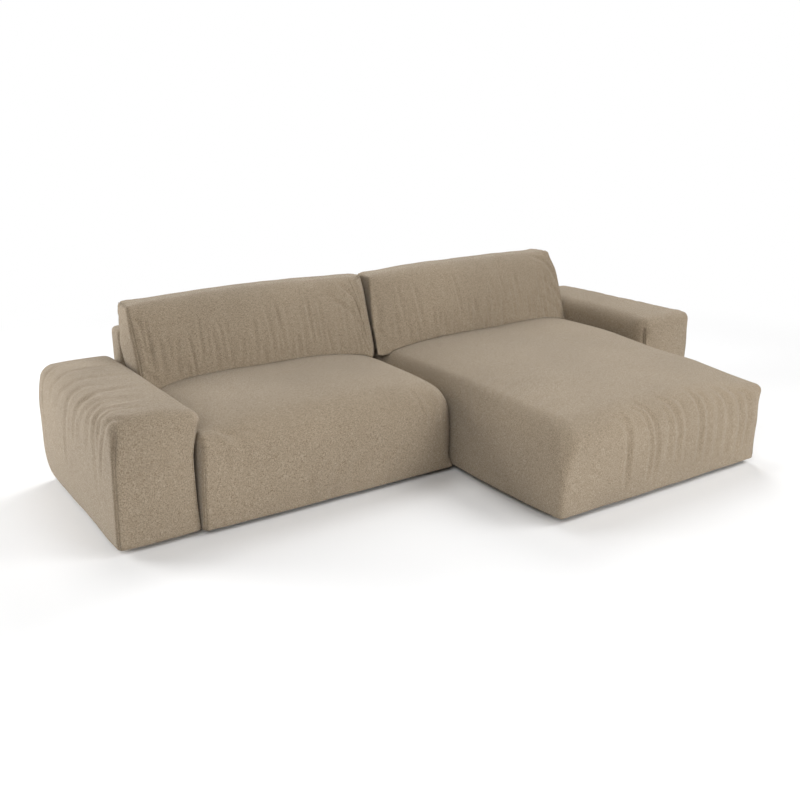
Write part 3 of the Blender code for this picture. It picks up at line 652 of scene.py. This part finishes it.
def hem(block, places):
    """The sewn hem along the lower edge, on the sides only."""
    height = places[:, 2] - block.low[2]
    beside = np.minimum(places - block.low, block.high - places)[:, :2].min(axis=1) < 1e-6
    return sewn_edge(height - HEM_HEIGHT, beside & (height > 1e-6))


def dress_fixed(name, points, quads, depth):
    """Raises the points by their depths and makes the upholstery of a part that stands on the floor."""
    points += point_normals(points, quads) * depth[:, None]
    return upholstery(f"{name}_upholstery", points, quads, "sofa", f"{name}_cover", f"{name}_foam")


def dress_seat(name, block, folds, seed):
    places, points, quads = block_mesh(block, SEAT_CELLS, SEAT_MOUTH)
    depth = ripples(points, seed) + hem(block, places) + fold_depths(places, folds)
    depth += sewn_uprights(block, places, points, block.raised_side[:1], SEAT_SEAM_STOP, seed)
    made = dress_fixed(name, points, quads, depth)
    return made


def dress_arm(side, inner_side, seed, crown, belly, lean, corner, gather, peak):
    """One arm. `belly` is how far its outer side fills out at the front and at the rear, `corner` the
    radius of its outer top corner, and `gather` the strength of its folds."""
    low, high = node_box(f"arm_{side}_cover")
    width = (low[0], high[0])
    length = (low[1], high[1])
    bulges = [(0, -inner_side, ARM_BULGE, *length), (1, -1, ARM_BULGE, *width), (1, 1, ARM_BULGE, *width)]
    draw_in(low, high, bulges, crown)
    bellies = [
        (0, -inner_side, *belly, *length),
        (1, 1, ARM_REAR_BELLY, ARM_REAR_BELLY, *width),
    ]
    block = Block(low, high, arm_radii(inner_side, corner), crown, bulges, bellies)
    places, points, quads = block_mesh(block, ARM_CELLS, ARM_MOUTH)
    draw_in_waist(block, points, inner_side)
    lean_outward(block, points, inner_side, lean)
    push_inner_corner(block, points, inner_side, peak)
    depth = ripples(points, seed) + hem(block, places)
    depth += fold_depths(places, arm_folds(block, inner_side), gather)
    depth += sewn_uprights(block, places, points, (-inner_side, inner_side), ARM_SEAM_STOP, seed)
    made = dress_fixed(f"arm_{side}", points, quads, depth)


def draw_in_waist(block, points, inner_side):
    """Draws in the upright edge between an arm's front and its inner side: the left arm's most at half
    its height, the right arm's fully from there up."""
    share = (points[:, 2] - block.low[2]) / (block.high[2] - block.low[2])
    level = ARM_WAIST * np.sin(np.pi * np.clip(share, 0.0, 1.0))
    if inner_side < 0:
        level = RIGHT_ARM_WAIST * smoothstep(share, 0.0, 0.5)
    beside = (points[:, 0] - block.side(inner_side)) / WAIST_REACH[0]
    behind = (points[:, 1] - block.low[1]) / WAIST_REACH[1]
    points[:, 0] -= inner_side * level * np.exp(-(beside**2) - behind**2)


def lean_outward(block, points, inner_side, lean):
    """Lets an arm's outer front edge stand out by the first amount, and by the second more at the top."""
    share = block.share(points)
    near = smoothstep(share[:, 0] * -inner_side, 0.2, 1.0) * smoothstep(share[:, 1], 0.0, -1.0)
    points[:, 0] -= inner_side * near * (lean[0] + lean[1] * share[:, 2])


def push_inner_corner(block, points, inner_side, peak):
    """Lets an arm's upper inner front corner hang down by the first amount and stand out, over the seat's
    rounded shoulder, by the second."""
    share = block.share(points)
    near = smoothstep(share[:, 0] * inner_side, 0.0, 1.0) * smoothstep(share[:, 1], -0.20, -1.0)
    points[:, 2] -= peak[0] * near * smoothstep(share[:, 2], 0.5, 1.0)
    points[:, 0] += inner_side * peak[1] * near * smoothstep(share[:, 2], 0.20, 0.85)


def edge_folds(block, end, count, seed, run, across, down, drift, depths):
    """Soft gathers that run across the top, over a long upper edge and down the side below it. `run` is
    the stretch of the edge that has them, and `drift` how far each slants back on its way down."""
    edge = block.side(end)
    top = block.high[2]
    chooser = np.random.default_rng(seed)
    folds = []
    for index in range(count):
        y = lerp(*run, (index + chooser.uniform(-0.3, 0.3)) / (count - 1))
        slant = chooser.uniform(*drift)
        fall = chooser.uniform(*down)
        path = [
            (edge - end * chooser.uniform(*across), y - slant * 0.8, top),
            (edge, y, top),
            (edge, y + slant * 0.7, top - fall * 0.5),
            (edge, y + slant, top - fall),
        ]
        folds.append((path, chooser.uniform(*EDGE_FOLD_WIDTHS), chooser.uniform(*depths)))
    return folds


def arm_folds(block, inner_side):
    front = block.low[1]
    run = (front + ARM_FOLD_MARGINS[0], block.high[1] - ARM_FOLD_MARGINS[1])
    folds = edge_folds(block, -inner_side, run=run, **ARM_FOLDS)
    near_front = [front + place for place in ARM_FRONT_FOLD_RUN]
    folds += edge_folds(block, -inner_side, run=near_front, **ARM_FRONT_FOLDS)
    level = lerp(block.low[2], block.high[2], PANEL_CREASE_LEVEL)
    places, width, depth = PANEL_CREASE
    crease = [(lerp(block.low[0], block.high[0], share), front, level + rise) for share, rise in places]
    return folds + [(crease, width, depth)]


def front_folds(block, count, seed, span, stretch, slant, depths):
    """Soft folds down a seat's front. `span` and `stretch` are the shares of its width and of its height,
    from the top down, that they cover, and `slant` is how far they lean sideways. Those that start at the
    top edge begin a little behind it."""
    chooser = np.random.default_rng(seed)
    front = block.low[1]
    top = block.high[2]
    height = top - block.low[2]
    folds = []
    for index in range(count):
        share = lerp(*span, (index + chooser.uniform(-0.35, 0.35)) / (count - 1))
        x = lerp(block.low[0], block.high[0], share)
        lean = slant * chooser.uniform(0.5, 1.5)
        first, last = (height * level * chooser.uniform(0.85, 1.1) for level in stretch)
        path = [
            (x, front, top - first),
            (x + lean * 0.7, front, top - (first + last) / 2),
            (x + lean * 0.5, front, top - last),
        ]
        if first == 0:
            path.insert(0, (x - lean, front + chooser.uniform(*FRONT_FOLD_STARTS), top))
        folds.append((path, chooser.uniform(*FRONT_FOLD_WIDTHS), chooser.uniform(*depths)))
    return folds


def dress_back(side, seed):
    block = Block(*node_box(f"back_{side}_cover"), even_radii(BACK_EDGE))
    _, points, quads = block_mesh(block, BACK_CELLS)
    depth = ripples(points, seed, depth=BACK_RIPPLE) - BACK_RIPPLE
    made = dress_fixed(f"back_{side}", points, quads, depth)


def cushion_form(points, half, height, ends):
    """Bends the flat block of a cushion: upright behind, leaning in front, tucked in low at the back.
    Each end panel swells out between its seams: its front seam is drawn in, its upper part stands proud."""
    mean_depth = CUSHION_TOP_DEPTH + height * math.tan(CUSHION_LEAN) / 2
    along = points[:, 0] / half
    across = 2 * points[:, 1] / mean_depth - 1
    level = np.clip(points[:, 2] / height, 0.0, 1.0)
    slack = np.clip((1 - across**2) * (1 - (2 * level - 1) ** 4), 0.0, 1.0)
    near_end = smoothstep(np.abs(along), 0.80, 1.0)
    toward_front = smoothstep(across, 0.0, -1.0)
    upper = smoothstep(level, 0.45, 0.95)
    moves = []
    for end in ends:
        rim = lerp(end.rear, lerp(end.front_low, end.front_top, upper), toward_front)
        moves.append(end.swell * slack - rim * (1 - slack) - end.top * smoothstep(level, 0.72, 1.0))
    outward = np.where(along < 0, moves[0], moves[1]) * near_end
    sag = np.where(along < 0, ends[0].sag, ends[1].sag) * np.abs(along) ** 2.5
    front = 1 - points[:, 1] / mean_depth
    depth = CUSHION_TOP_DEPTH + (height - points[:, 2]) * math.tan(CUSHION_LEAN)
    tuck = CUSHION_TUCK * np.maximum(0.0, 1 - points[:, 2] / CUSHION_TUCK_HEIGHT)
    crown = CUSHION_CROWN * (1 - along**2) * 4 * level * (1 - level)
    return np.stack([
        points[:, 0] - along * CUSHION_TAPER * level + np.sign(along) * outward,
        -(depth + crown) * front - tuck * (1 - front),
        points[:, 2] + (CUSHION_TOP_CROWN * (1 - along**2) - sag) * level,
    ], axis=1)


def cushion_radii(ends):
    """Sewn or soft upright edges at the two ends, and soft edges along the top and bottom."""
    def radii(block, places):
        along = places[:, 0] / block.high[0]
        edge = lerp(CUSHION_EDGE, CUSHION_END_EDGE, smoothstep(np.abs(along), 0.80, 1.0))
        near_top = smoothstep(block.high[2] - places[:, 2], *CUSHION_TOP_BLEND)
        rear_corner = near_top * smoothstep(places[:, 1], 0.4 * block.high[1], 0.8 * block.high[1])
        sides = []
        for end in ends:
            front_edge = lerp(end.edge, min(end.edge, CUSHION_TOP_CORNER), near_top)
            sides.append(lerp(front_edge, CUSHION_REAR_CORNER, rear_corner))
        return np.stack([sides[0], edge, edge], axis=1), np.stack([sides[1], edge, edge], axis=1)
    return radii


def cushion_folds(half, height, gathers, seed):
    """Fine upright creases all along the front, and the longer gathers that run in from the ends."""
    chooser = np.random.default_rng(seed)
    reach = half - CREASE_MARGIN
    folds = []
    for index in range(CREASE_COUNT):
        x = lerp(-reach, reach, (index + chooser.uniform(-0.4, 0.4)) / (CREASE_COUNT - 1))
        start = chooser.uniform(*CREASE_STARTS)
        stop = start + chooser.uniform(*CREASE_LENGTHS)
        lean = chooser.uniform(*CREASE_LEANS)
        path = [(x, 0.0, start), (x + lean * 0.3, 0.0, (start + stop) / 2), (x + lean, 0.0, stop)]
        folds.append((path, chooser.uniform(*CREASE_WIDTHS), chooser.uniform(*CREASE_DEPTHS)))
    for run, width, amount in gathers:
        path = [(across * half, 0.0, level * height) for across, level in run]
        folds.append((path, width, amount))
    return folds


def end_seam_distance(block, places):
    """Distance, over the sharp block's sides, from the edges of its two end panels."""
    from_end = np.minimum(places[:, 0] - block.low[0], block.high[0] - places[:, 0])
    rims = [np.minimum(places[:, a] - block.low[a], block.high[a] - places[:, a]) for a in (1, 2)]
    on_end_panel = from_end < 1e-6
    return np.where(on_end_panel, np.minimum(rims[0], rims[1]), from_end)


def tree_of(made):
    points = [vertex.co.copy() for vertex in made.data.vertices]
    return BVHTree.FromPolygons(points, [tuple(face.vertices) for face in made.data.polygons])


def rest_on(points, seat_tree):
    """Lifts what would sink into the seat to just above it."""
    lifted = points.copy()
    for index, point in enumerate(points):
        hit = seat_tree.ray_cast(Vector((point[0], point[1], 1.0)), Vector((0, 0, -1)))[0]
        if hit:
            lifted[index, 2] = max(point[2], hit.z + CUSHION_REST_GAP)
    return lifted


def dress_cushion(side, ends, gathers, seat_tree, seed):
    node = f"cushion_{side}_cover"
    low, high = node_box(node)
    centre_x = (low[0] + high[0]) / 2
    half = (high[0] - low[0]) / 2
    height = high[2] - CUSHION_TOP_CROWN - CUSHION_BOTTOM
    mean_depth = CUSHION_TOP_DEPTH + height * math.tan(CUSHION_LEAN) / 2
    corner = np.array([half, mean_depth, height])
    block = Block(corner * (-1, 0, 0), corner, cushion_radii(ends))

    def placed(flat):
        points = cushion_form(flat, half, height, ends) + (centre_x, high[1], CUSHION_BOTTOM)
        points[:, 1] = np.minimum(points[:, 1], high[1])
        return points

    places, flat, quads = block_mesh(block, CUSHION_CELLS)
    points = placed(flat)
    loose_places, loose_flat, loose_quads = block_mesh(block, CUSHION_CLOTH_CELLS)
    loose = rest_on(placed(loose_flat), seat_tree)
    hold = cushion_hold(side, loose, end_seam_distance(block, loose_places), high[1])
    moves = cloth_moves(loose, loose_quads, hold)
    points += carried(moves, loose_places, places)
    seam = end_seam_distance(block, places)
    depth = ripples(points, seed, CUSHION_RIPPLE_SIZE, CUSHION_RIPPLE)
    depth += fold_depths(flat, cushion_folds(half, height, gathers, seed))
    sewn = np.where(places[:, 0] < 0, ends[0].edge, ends[1].edge) < SEAM_EDGE
    depth += sewn_edge(seam, sewn)
    depth += pucker_depth(flat, seam, seed, CUSHION_PUCKER_REACH, CUSHION_PUCKER_DEPTH)
    points += point_normals(points, quads) * depth[:, None]
    points[:, 1] = np.minimum(points[:, 1], high[1])
    recess_for_zip(points, side)
    points = rest_on(points, seat_tree)
    made = upholstery(f"cushion_{side}", points, quads, f"{side}_cushion", node, f"cushion_{side}_filling")


def cushion_hold(side, points, seam, rear):
    """How firmly the cloth pass holds each point of a cushion to its form, from 0 to 1."""
    by_zip = beside_zip(points, side, ZIP_MARGIN)
    resting = smoothstep(points[:, 2] - CUSHION_BOTTOM, *CLOTH_REST_BLEND)
    behind = smoothstep(points[:, 1] - rear, *CLOTH_REAR_BLEND)
    sewn = smoothstep(seam, *CLOTH_SEAM_BLEND)
    return lerp(CLOTH_SOFT_PIN, 1.0, np.maximum.reduce([by_zip.astype(float), resting, behind, sewn]))


def beside_zip(points, side, margin):
    low, high = node_box(f"cushion_{side}_zip_tape")
    return np.all((points > low - margin) & (points < high + margin), axis=1)


def recess_for_zip(points, side):
    """Draws the cover in under the zip, so that the tape lies in it and shows."""
    inside = beside_zip(points, side, ZIP_RECESS)
    points[inside, 1] -= ZIP_RECESS
    points[inside, 2] += ZIP_RECESS


def coordinates(mesh):
    flat = np.empty(len(mesh.vertices) * 3)
    mesh.vertices.foreach_get("co", flat)
    return flat.reshape(-1, 3)


def pin_group(made, pins):
    group = made.vertex_groups.new(name="pins")
    steps = np.round(pins * 50).astype(int)
    for step in np.unique(steps):
        group.add(np.flatnonzero(steps == step).tolist(), step / 50, "REPLACE")
    return group.name


def cloth_moves(points, quads, pins):
    """How far each point of a cover moves when it settles as cloth under the pressure of its filling.
    Nothing shrinks, but naming a shrink group moves some points by up to 0.4 mm, and the shapes that were
    checked have one."""
    made = add_mesh("settling", points, quads)
    scene = bpy.context.scene
    cloth = made.modifiers.new("cloth", "CLOTH")
    for key, value in CLOTH_SETTINGS.items():
        setattr(cloth.settings, key, value)
    cloth.settings.vertex_group_mass = pin_group(made, pins)
    cloth.settings.vertex_group_shrink = cloth.settings.vertex_group_mass
    cloth.settings.effector_weights.gravity = 0
    cloth.collision_settings.use_collision = False
    for step in range(1, CLOTH_FRAMES + 1):
        scene.frame_set(step)
    moves = coordinates(made.evaluated_get(bpy.context.evaluated_depsgraph_get()).data) - points
    scene.frame_set(1)
    bpy.data.meshes.remove(made.data)
    lengths = np.linalg.norm(moves, axis=1, keepdims=True)
    return moves * CLOTH_CAP * np.tanh(lengths / CLOTH_CAP) / np.maximum(lengths, 1e-9)


def carried(values, places_from, places_to):
    """Values at the points of one lattice, carried to those of another over the same block."""
    tree = KDTree(len(places_from))
    for index, place in enumerate(places_from):
        tree.insert(place, index)
    tree.balance()
    found = [tree.find_n(place, 4) for place in places_to]
    indices = np.array([[near[1] for near in row] for row in found])
    gaps = np.array([[near[2] for near in row] for row in found])
    weights = 1 / (gaps + 1e-4) ** 2
    weights /= weights.sum(axis=1, keepdims=True)
    return (values[indices] * weights[:, :, None]).sum(axis=1)


class NodeTree:
    """Short calls for building the node tree of a material or of the world."""

    def __init__(self, owner):
        owner.use_nodes = True
        self.tree = owner.node_tree

    def node(self, kind, inputs=None, **settings):
        made = self.tree.nodes.new(kind)
        for key, value in settings.items():
            setattr(made, key, value)
        self.fill(made, inputs or {})
        return made

    def fill(self, node, inputs):
        """Gives a node's inputs, by name or number, numbers, vectors, colours or other nodes' outputs."""
        for key, value in inputs.items():
            socket = node.inputs[key]
            if isinstance(value, tuple):
                socket.default_value = (*value, 1.0)[:len(socket.default_value)]
            elif isinstance(value, float):
                socket.default_value = value
            else:
                self.tree.links.new(value, socket)

    def math(self, operation, first, second):
        return self.node("ShaderNodeMath", {0: first, 1: second}, operation=operation).outputs[0]


class Shader(NodeTree):
    """A material with one principled surface and patterns in the object's own space."""

    def __init__(self, name, roughness, metallic=0.0):
        self.material = bpy.data.materials.new(name)
        super().__init__(self.material)
        self.surface = self.tree.nodes["Principled BSDF"]
        self.fill(self.surface, {"Roughness": roughness, "Metallic": metallic})
        self.place = self.node("ShaderNodeTexCoord").outputs["Object"]

    def noise(self, scale, detail, stretch=None):
        place = self.place
        if stretch:
            place = self.node("ShaderNodeMapping", {"Scale": stretch, "Vector": place}).outputs["Vector"]
        inputs = {"Scale": scale, "Detail": detail, "Vector": place}
        return self.node("ShaderNodeTexNoise", inputs).outputs["Fac"]

    def wave(self, scale, direction, distortion=0.0):
        inputs = {"Scale": scale, "Distortion": distortion, "Vector": self.place}
        return self.node("ShaderNodeTexWave", inputs, bands_direction=direction).outputs["Fac"]

    def ramp(self, value, stops):
        made = self.node("ShaderNodeValToRGB", {"Fac": value})
        ramp = made.color_ramp
        while len(ramp.elements) < len(stops):
            ramp.elements.new(0.5)
        for element, (place, colour) in zip(ramp.elements, stops):
            element.position = place
            element.color = (*colour, 1.0)
        return made.outputs["Color"]

    def multiplied(self, first, second):
        """The product of two colours."""
        inputs = {"Factor": 1.0, "A": first, "B": second}
        return self.node("ShaderNodeMix", inputs, data_type="RGBA", blend_type="MULTIPLY").outputs["Result"]

    def colour(self, value):
        self.fill(self.surface, {"Base Color": value})

    def roughen(self, value, spread, least):
        rough = self.math("ADD", self.math("MULTIPLY", value, spread), least)
        self.fill(self.surface, {"Roughness": rough})

    def bump(self, height, distance, strength):
        inputs = {"Distance": distance, "Strength": strength, "Height": height}
        self.fill(self.surface, {"Normal": self.node("ShaderNodeBump", inputs).outputs["Normal"]})

    def patterned(self, value, dark, light, distance, strength):
        """Colours and embosses the surface by one pattern. `dark` and `light` are stops of a ramp."""
        self.colour(self.ramp(value, (dark, light)))
        self.bump(value, distance, strength)
        return self.material


def woven_fabric():
    """Flat weave of light and dark beige threads, a little fuzzy."""
    shader = Shader("woven_fabric_dressed", 0.9)
    shader.fill(shader.surface, FUZZ)
    flecks = shader.math("MULTIPLY", shader.noise(FLECK_SCALE, 1.0), PLAIN_FLECKS)
    for stretch, share in THREAD_FLECKS:
        threads = shader.math("MULTIPLY", shader.noise(FLECK_SCALE, 1.0, stretch), share)
        flecks = shader.math("ADD", flecks, threads)
    # Painted light: the flecks are drawn weaker on faces that look up, where the light washes out the tops
    normal = shader.node("ShaderNodeNewGeometry").outputs["Normal"]
    upward = shader.node("ShaderNodeSeparateXYZ", {"Vector": normal}).outputs["Z"]
    lying = shader.math("MAXIMUM", upward, 0.0)
    contrast = shader.math("SUBTRACT", 1.0, shader.math("MULTIPLY", lying, PAINTED_TOP_CONTRAST_LOSS))
    contrast = shader.math("MULTIPLY", contrast, FLECK_CONTRAST)
    spread = shader.math("MULTIPLY", shader.math("SUBTRACT", flecks, 0.5), contrast)
    fleck_colour = shader.ramp(shader.math("ADD", spread, 0.5), FLECK_COLOURS)
    patches = shader.ramp(shader.noise(PATCH_SCALE, 2.0), PATCH_SHADES)
    shader.colour(shader.multiplied(fleck_colour, patches))
    waves = [shader.wave(WEAVE_SCALE, direction, 1.5) for direction in ("X", "Y", "Z")]
    weave = shader.math("ADD", shader.math("ADD", waves[0], waves[1]), waves[2])
    weave = shader.math("MULTIPLY", weave, WEAVE_HEIGHT)
    shader.bump(shader.math("ADD", weave, shader.math("MULTIPLY", flecks, FLECK_HEIGHT)), 0.0010, 0.8)
    return shader.material


def grained_wood(name, light, dark, stretch):
    shader = Shader(name, 0.6)
    grain = shader.noise(26.0, 6.0, stretch)
    shader.roughen(grain, 0.25, 0.45)
    return shader.patterned(grain, (0.35, dark), (0.65, light), 0.0006, 0.5)


def base_cloth():
    shader = Shader("base_cloth_dressed", 0.9)
    dark = (0.35, (0.012, 0.012, 0.013))
    light = (0.65, (0.035, 0.035, 0.037))
    return shader.patterned(shader.noise(420.0, 3.0), dark, light, 0.0005, 0.6)


def webbing():
    shader = Shader("webbing_dressed", 0.8)
    ribs = shader.math("MULTIPLY", shader.wave(90.0, "X"), shader.wave(90.0, "Y"))
    return shader.patterned(ribs, (0.1, (0.030, 0.030, 0.035)), (0.8, (0.085, 0.085, 0.095)), 0.0006, 0.7)


def moulded_plastic():
    shader = Shader("black_plastic_dressed", 0.5)
    grain = shader.noise(600.0, 2.0)
    shader.roughen(grain, 0.2, 0.4)
    return shader.patterned(grain, (0.3, (0.012, 0.012, 0.013)), (0.7, (0.020, 0.020, 0.021)), 0.0002, 0.4)


def plated_metal(name, light, dark, roughness):
    shader = Shader(name, roughness, 1.0)
    spots = shader.noise(220.0, 3.0)
    shader.roughen(spots, 0.2, roughness - 0.1)
    return shader.patterned(spots, (0.35, dark), (0.65, light), 0.0001, 0.3)


def zip_tape():
    """Twill tape with the teeth as a row of bright bars along its middle."""
    shader = Shader("zip_tape_dressed", 0.8)
    teeth = shader.wave(160.0, "X")
    return shader.patterned(teeth, (0.3, (0.20, 0.165, 0.12)), (0.7, (0.34, 0.29, 0.225)), 0.0004, 0.8)


def make_materials():
    light_timber = (0.66, 0.47, 0.27)
    dark_timber = (0.50, 0.33, 0.17)
    light_ply = (0.70, 0.53, 0.33)
    dark_ply = (0.58, 0.41, 0.24)
    return {
        "woven_fabric": woven_fabric(),
        "timber": grained_wood("timber_dressed", light_timber, dark_timber, (0.15, 1.0, 2.0)),
        "plywood": grained_wood("plywood_dressed", light_ply, dark_ply, (1.0, 0.12, 1.0)),
        "base_cloth": base_cloth(),
        "webbing": webbing(),
        "black_plastic": moulded_plastic(),
        "zinc_steel": plated_metal("zinc_steel_dressed", (0.66, 0.66, 0.68), (0.52, 0.52, 0.55), 0.35),
        "zip_metal": plated_metal("zip_metal_dressed", (0.34, 0.30, 0.25), (0.24, 0.21, 0.17), 0.4),
        "zip_tape": zip_tape(),
    }


def dress_cad_nodes():
    """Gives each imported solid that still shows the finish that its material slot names."""
    slots = {part["node"]: part["material_slot"] for part in frame["record"]["subparts"]}
    for node, made in frame["nodes"].items():
        finish = MATERIALS.get(slots[node])
        if finish:
            made.data.materials.clear()
            made.data.materials.append(finish)


def aimed(name, data, place, gaze):
    """A camera or a light at a place, turned along its gaze."""
    made = add_object(name, data)
    made.location = place
    made.rotation_euler = gaze.to_track_quat("-Z", "Y").to_euler()
    return made


def make_camera():
    data = bpy.data.cameras.new("camera")
    data.lens = CAMERA_LENS
    data.sensor_width = CAMERA_SENSOR
    level = math.cos(CAMERA_PITCH)
    gaze = Vector((math.sin(CAMERA_YAW) * level, math.cos(CAMERA_YAW) * level, -math.sin(CAMERA_PITCH)))
    bpy.context.scene.camera = aimed("camera", data, CAMERA_PLACE, gaze)


def make_lights():
    for name, (azimuth, elevation, power) in STUDIO_LIGHTS.items():
        turn = math.radians(azimuth)
        rise = math.radians(elevation)
        outward = Vector((math.cos(turn) * math.cos(rise), math.sin(turn) * math.cos(rise), math.sin(rise)))
        data = bpy.data.lights.new(name, "AREA")
        data.shape = "DISK"
        data.size = LIGHT_SIZE
        data.energy = power
        aimed(name, data, LIGHT_AIM + outward * LIGHT_DISTANCE, -outward)


class Backdrop(NodeTree):
    """The node tree of what lies behind and below the object."""

    def __init__(self, owner):
        super().__init__(owner)
        self.tree.nodes.clear()

    def plain(self, kind, grey, **inputs):
        return self.node(kind, {"Color": (grey, grey, grey), **inputs}).outputs[0]

    def mixed(self, share, first, second):
        return self.node("ShaderNodeMixShader", {0: share, 1: first, 2: second}).outputs[0]

    def shown(self, kind, lighting, seen):
        """Ends the tree: the camera's rays, and those that metal and glass pass on, get what is seen."""
        rays = self.node("ShaderNodeLightPath").outputs
        share = self.math("MAXIMUM", rays["Is Camera Ray"], rays["Is Glossy Ray"])
        share = self.math("MAXIMUM", share, rays["Is Transmission Ray"])
        self.node(kind, {"Surface": self.mixed(share, lighting, seen)})


def make_world():
    """A faint even light all round, and plain white where the camera looks past the object."""
    world = bpy.data.worlds.new("studio")
    bpy.context.scene.world = world
    nodes = Backdrop(world)
    dome = nodes.plain("ShaderNodeBackground", 1.0, Strength=WORLD_STRENGTH)
    white = nodes.plain("ShaderNodeBackground", 1.0, Strength=1.0)
    nodes.shown("ShaderNodeOutputWorld", dome, white)


def floor_material():
    """White paper. The camera sees it with its shadow near the object and as plain white further out."""
    made = bpy.data.materials.new("floor")
    nodes = Backdrop(made)
    place = nodes.node("ShaderNodeTexCoord").outputs["Object"]
    radius = nodes.node("ShaderNodeVectorMath", {0: place}, operation="LENGTH").outputs["Value"]
    limits = {"Value": radius, "From Min": FADE_START, "From Max": FADE_END}
    fade = nodes.node("ShaderNodeMapRange", limits, interpolation_type="SMOOTHSTEP").outputs["Result"]
    paper = nodes.plain("ShaderNodeBsdfDiffuse", FLOOR_ALBEDO)
    white = nodes.plain("ShaderNodeEmission", 1.0, Strength=1.0)
    nodes.shown("ShaderNodeOutputMaterial", paper, nodes.mixed(fade, paper, white))
    return made


def make_floor():
    corners = FLOOR_HALF * np.array([(-1, -1, 0), (1, -1, 0), (1, 1, 0), (-1, 1, 0)])
    floor = add_mesh("floor", corners, np.array([(0, 1, 2, 3)]))
    floor.data.materials.append(floor_material())


def make_upholstery():
    seat_low, seat_high = node_box("seat_cover")
    seat_bellies = [(1, -1, 0.5 * FRONT_BELLY, FRONT_BELLY, seat_low[0], seat_high[0])]
    seat = seat_block("seat_cover", SEAT_CROWN, -1, SEAT_OPEN_UPRIGHT, SEAT_TOP_EDGE, [], seat_bellies)
    chaise_low, chaise_high = node_box("chaise_cover")
    free_stretch = (chaise_low[1], node_box("arm_right_cover")[0][1] - BULGE_STOP)
    side_bulges = [(0, end, SIDE_BULGE, *free_stretch) for end in (-1, 1)]
    chaise_bellies = [
        (1, -1, FRONT_BELLY, 0.0, chaise_low[0], chaise_high[0]),
        (0, -1, FRONT_BELLY, 0.0, chaise_low[1], seat_low[1] - BELLY_STOP),
    ]
    open_radii = (CHAISE_OPEN_UPRIGHT, CHAISE_OPEN_TOP_EDGE)
    chaise = seat_block("chaise_cover", CHAISE_CROWN, 1, *open_radii, side_bulges, chaise_bellies)
    seat_folds = [fold for group in SEAT_FOLDS for fold in front_folds(seat, **group)]
    open_edge = (chaise_low[1] + CHAISE_FOLD_MARGIN, seat_low[1])
    chaise_folds = front_folds(chaise, **CHAISE_FOLDS)
    chaise_folds += edge_folds(chaise, -1, run=open_edge, **CHAISE_EDGE_FOLDS)
    seat.corners = [(-1, 0.0, -SEAT_CORNER_INSET)]
    chaise.corners = [(1, CORNER_DROP, CORNER_REACH), (-1, NEAR_CORNER_DROP, -NEAR_CORNER_INSET)]
    left_seat = dress_seat("seat", seat, seat_folds, 1)
    right_seat = dress_seat("chaise", chaise, chaise_folds, 2)
    dress_arm("left", 1, 3, **LEFT_ARM)
    dress_arm("right", -1, 4, **RIGHT_ARM)
    dress_back("left", 5)
    dress_back("right", 6)
    dress_cushion("left", LEFT_CUSHION_ENDS, LEFT_CUSHION_GATHERS, tree_of(left_seat), 7)
    dress_cushion("right", RIGHT_CUSHION_ENDS, RIGHT_CUSHION_GATHERS, tree_of(right_seat), 8)


MATERIALS = make_materials()
make_upholstery()
dress_cad_nodes()
make_camera()
make_world()
make_lights()
make_floor()
bpy.context.scene.view_settings.view_transform = "Standard"
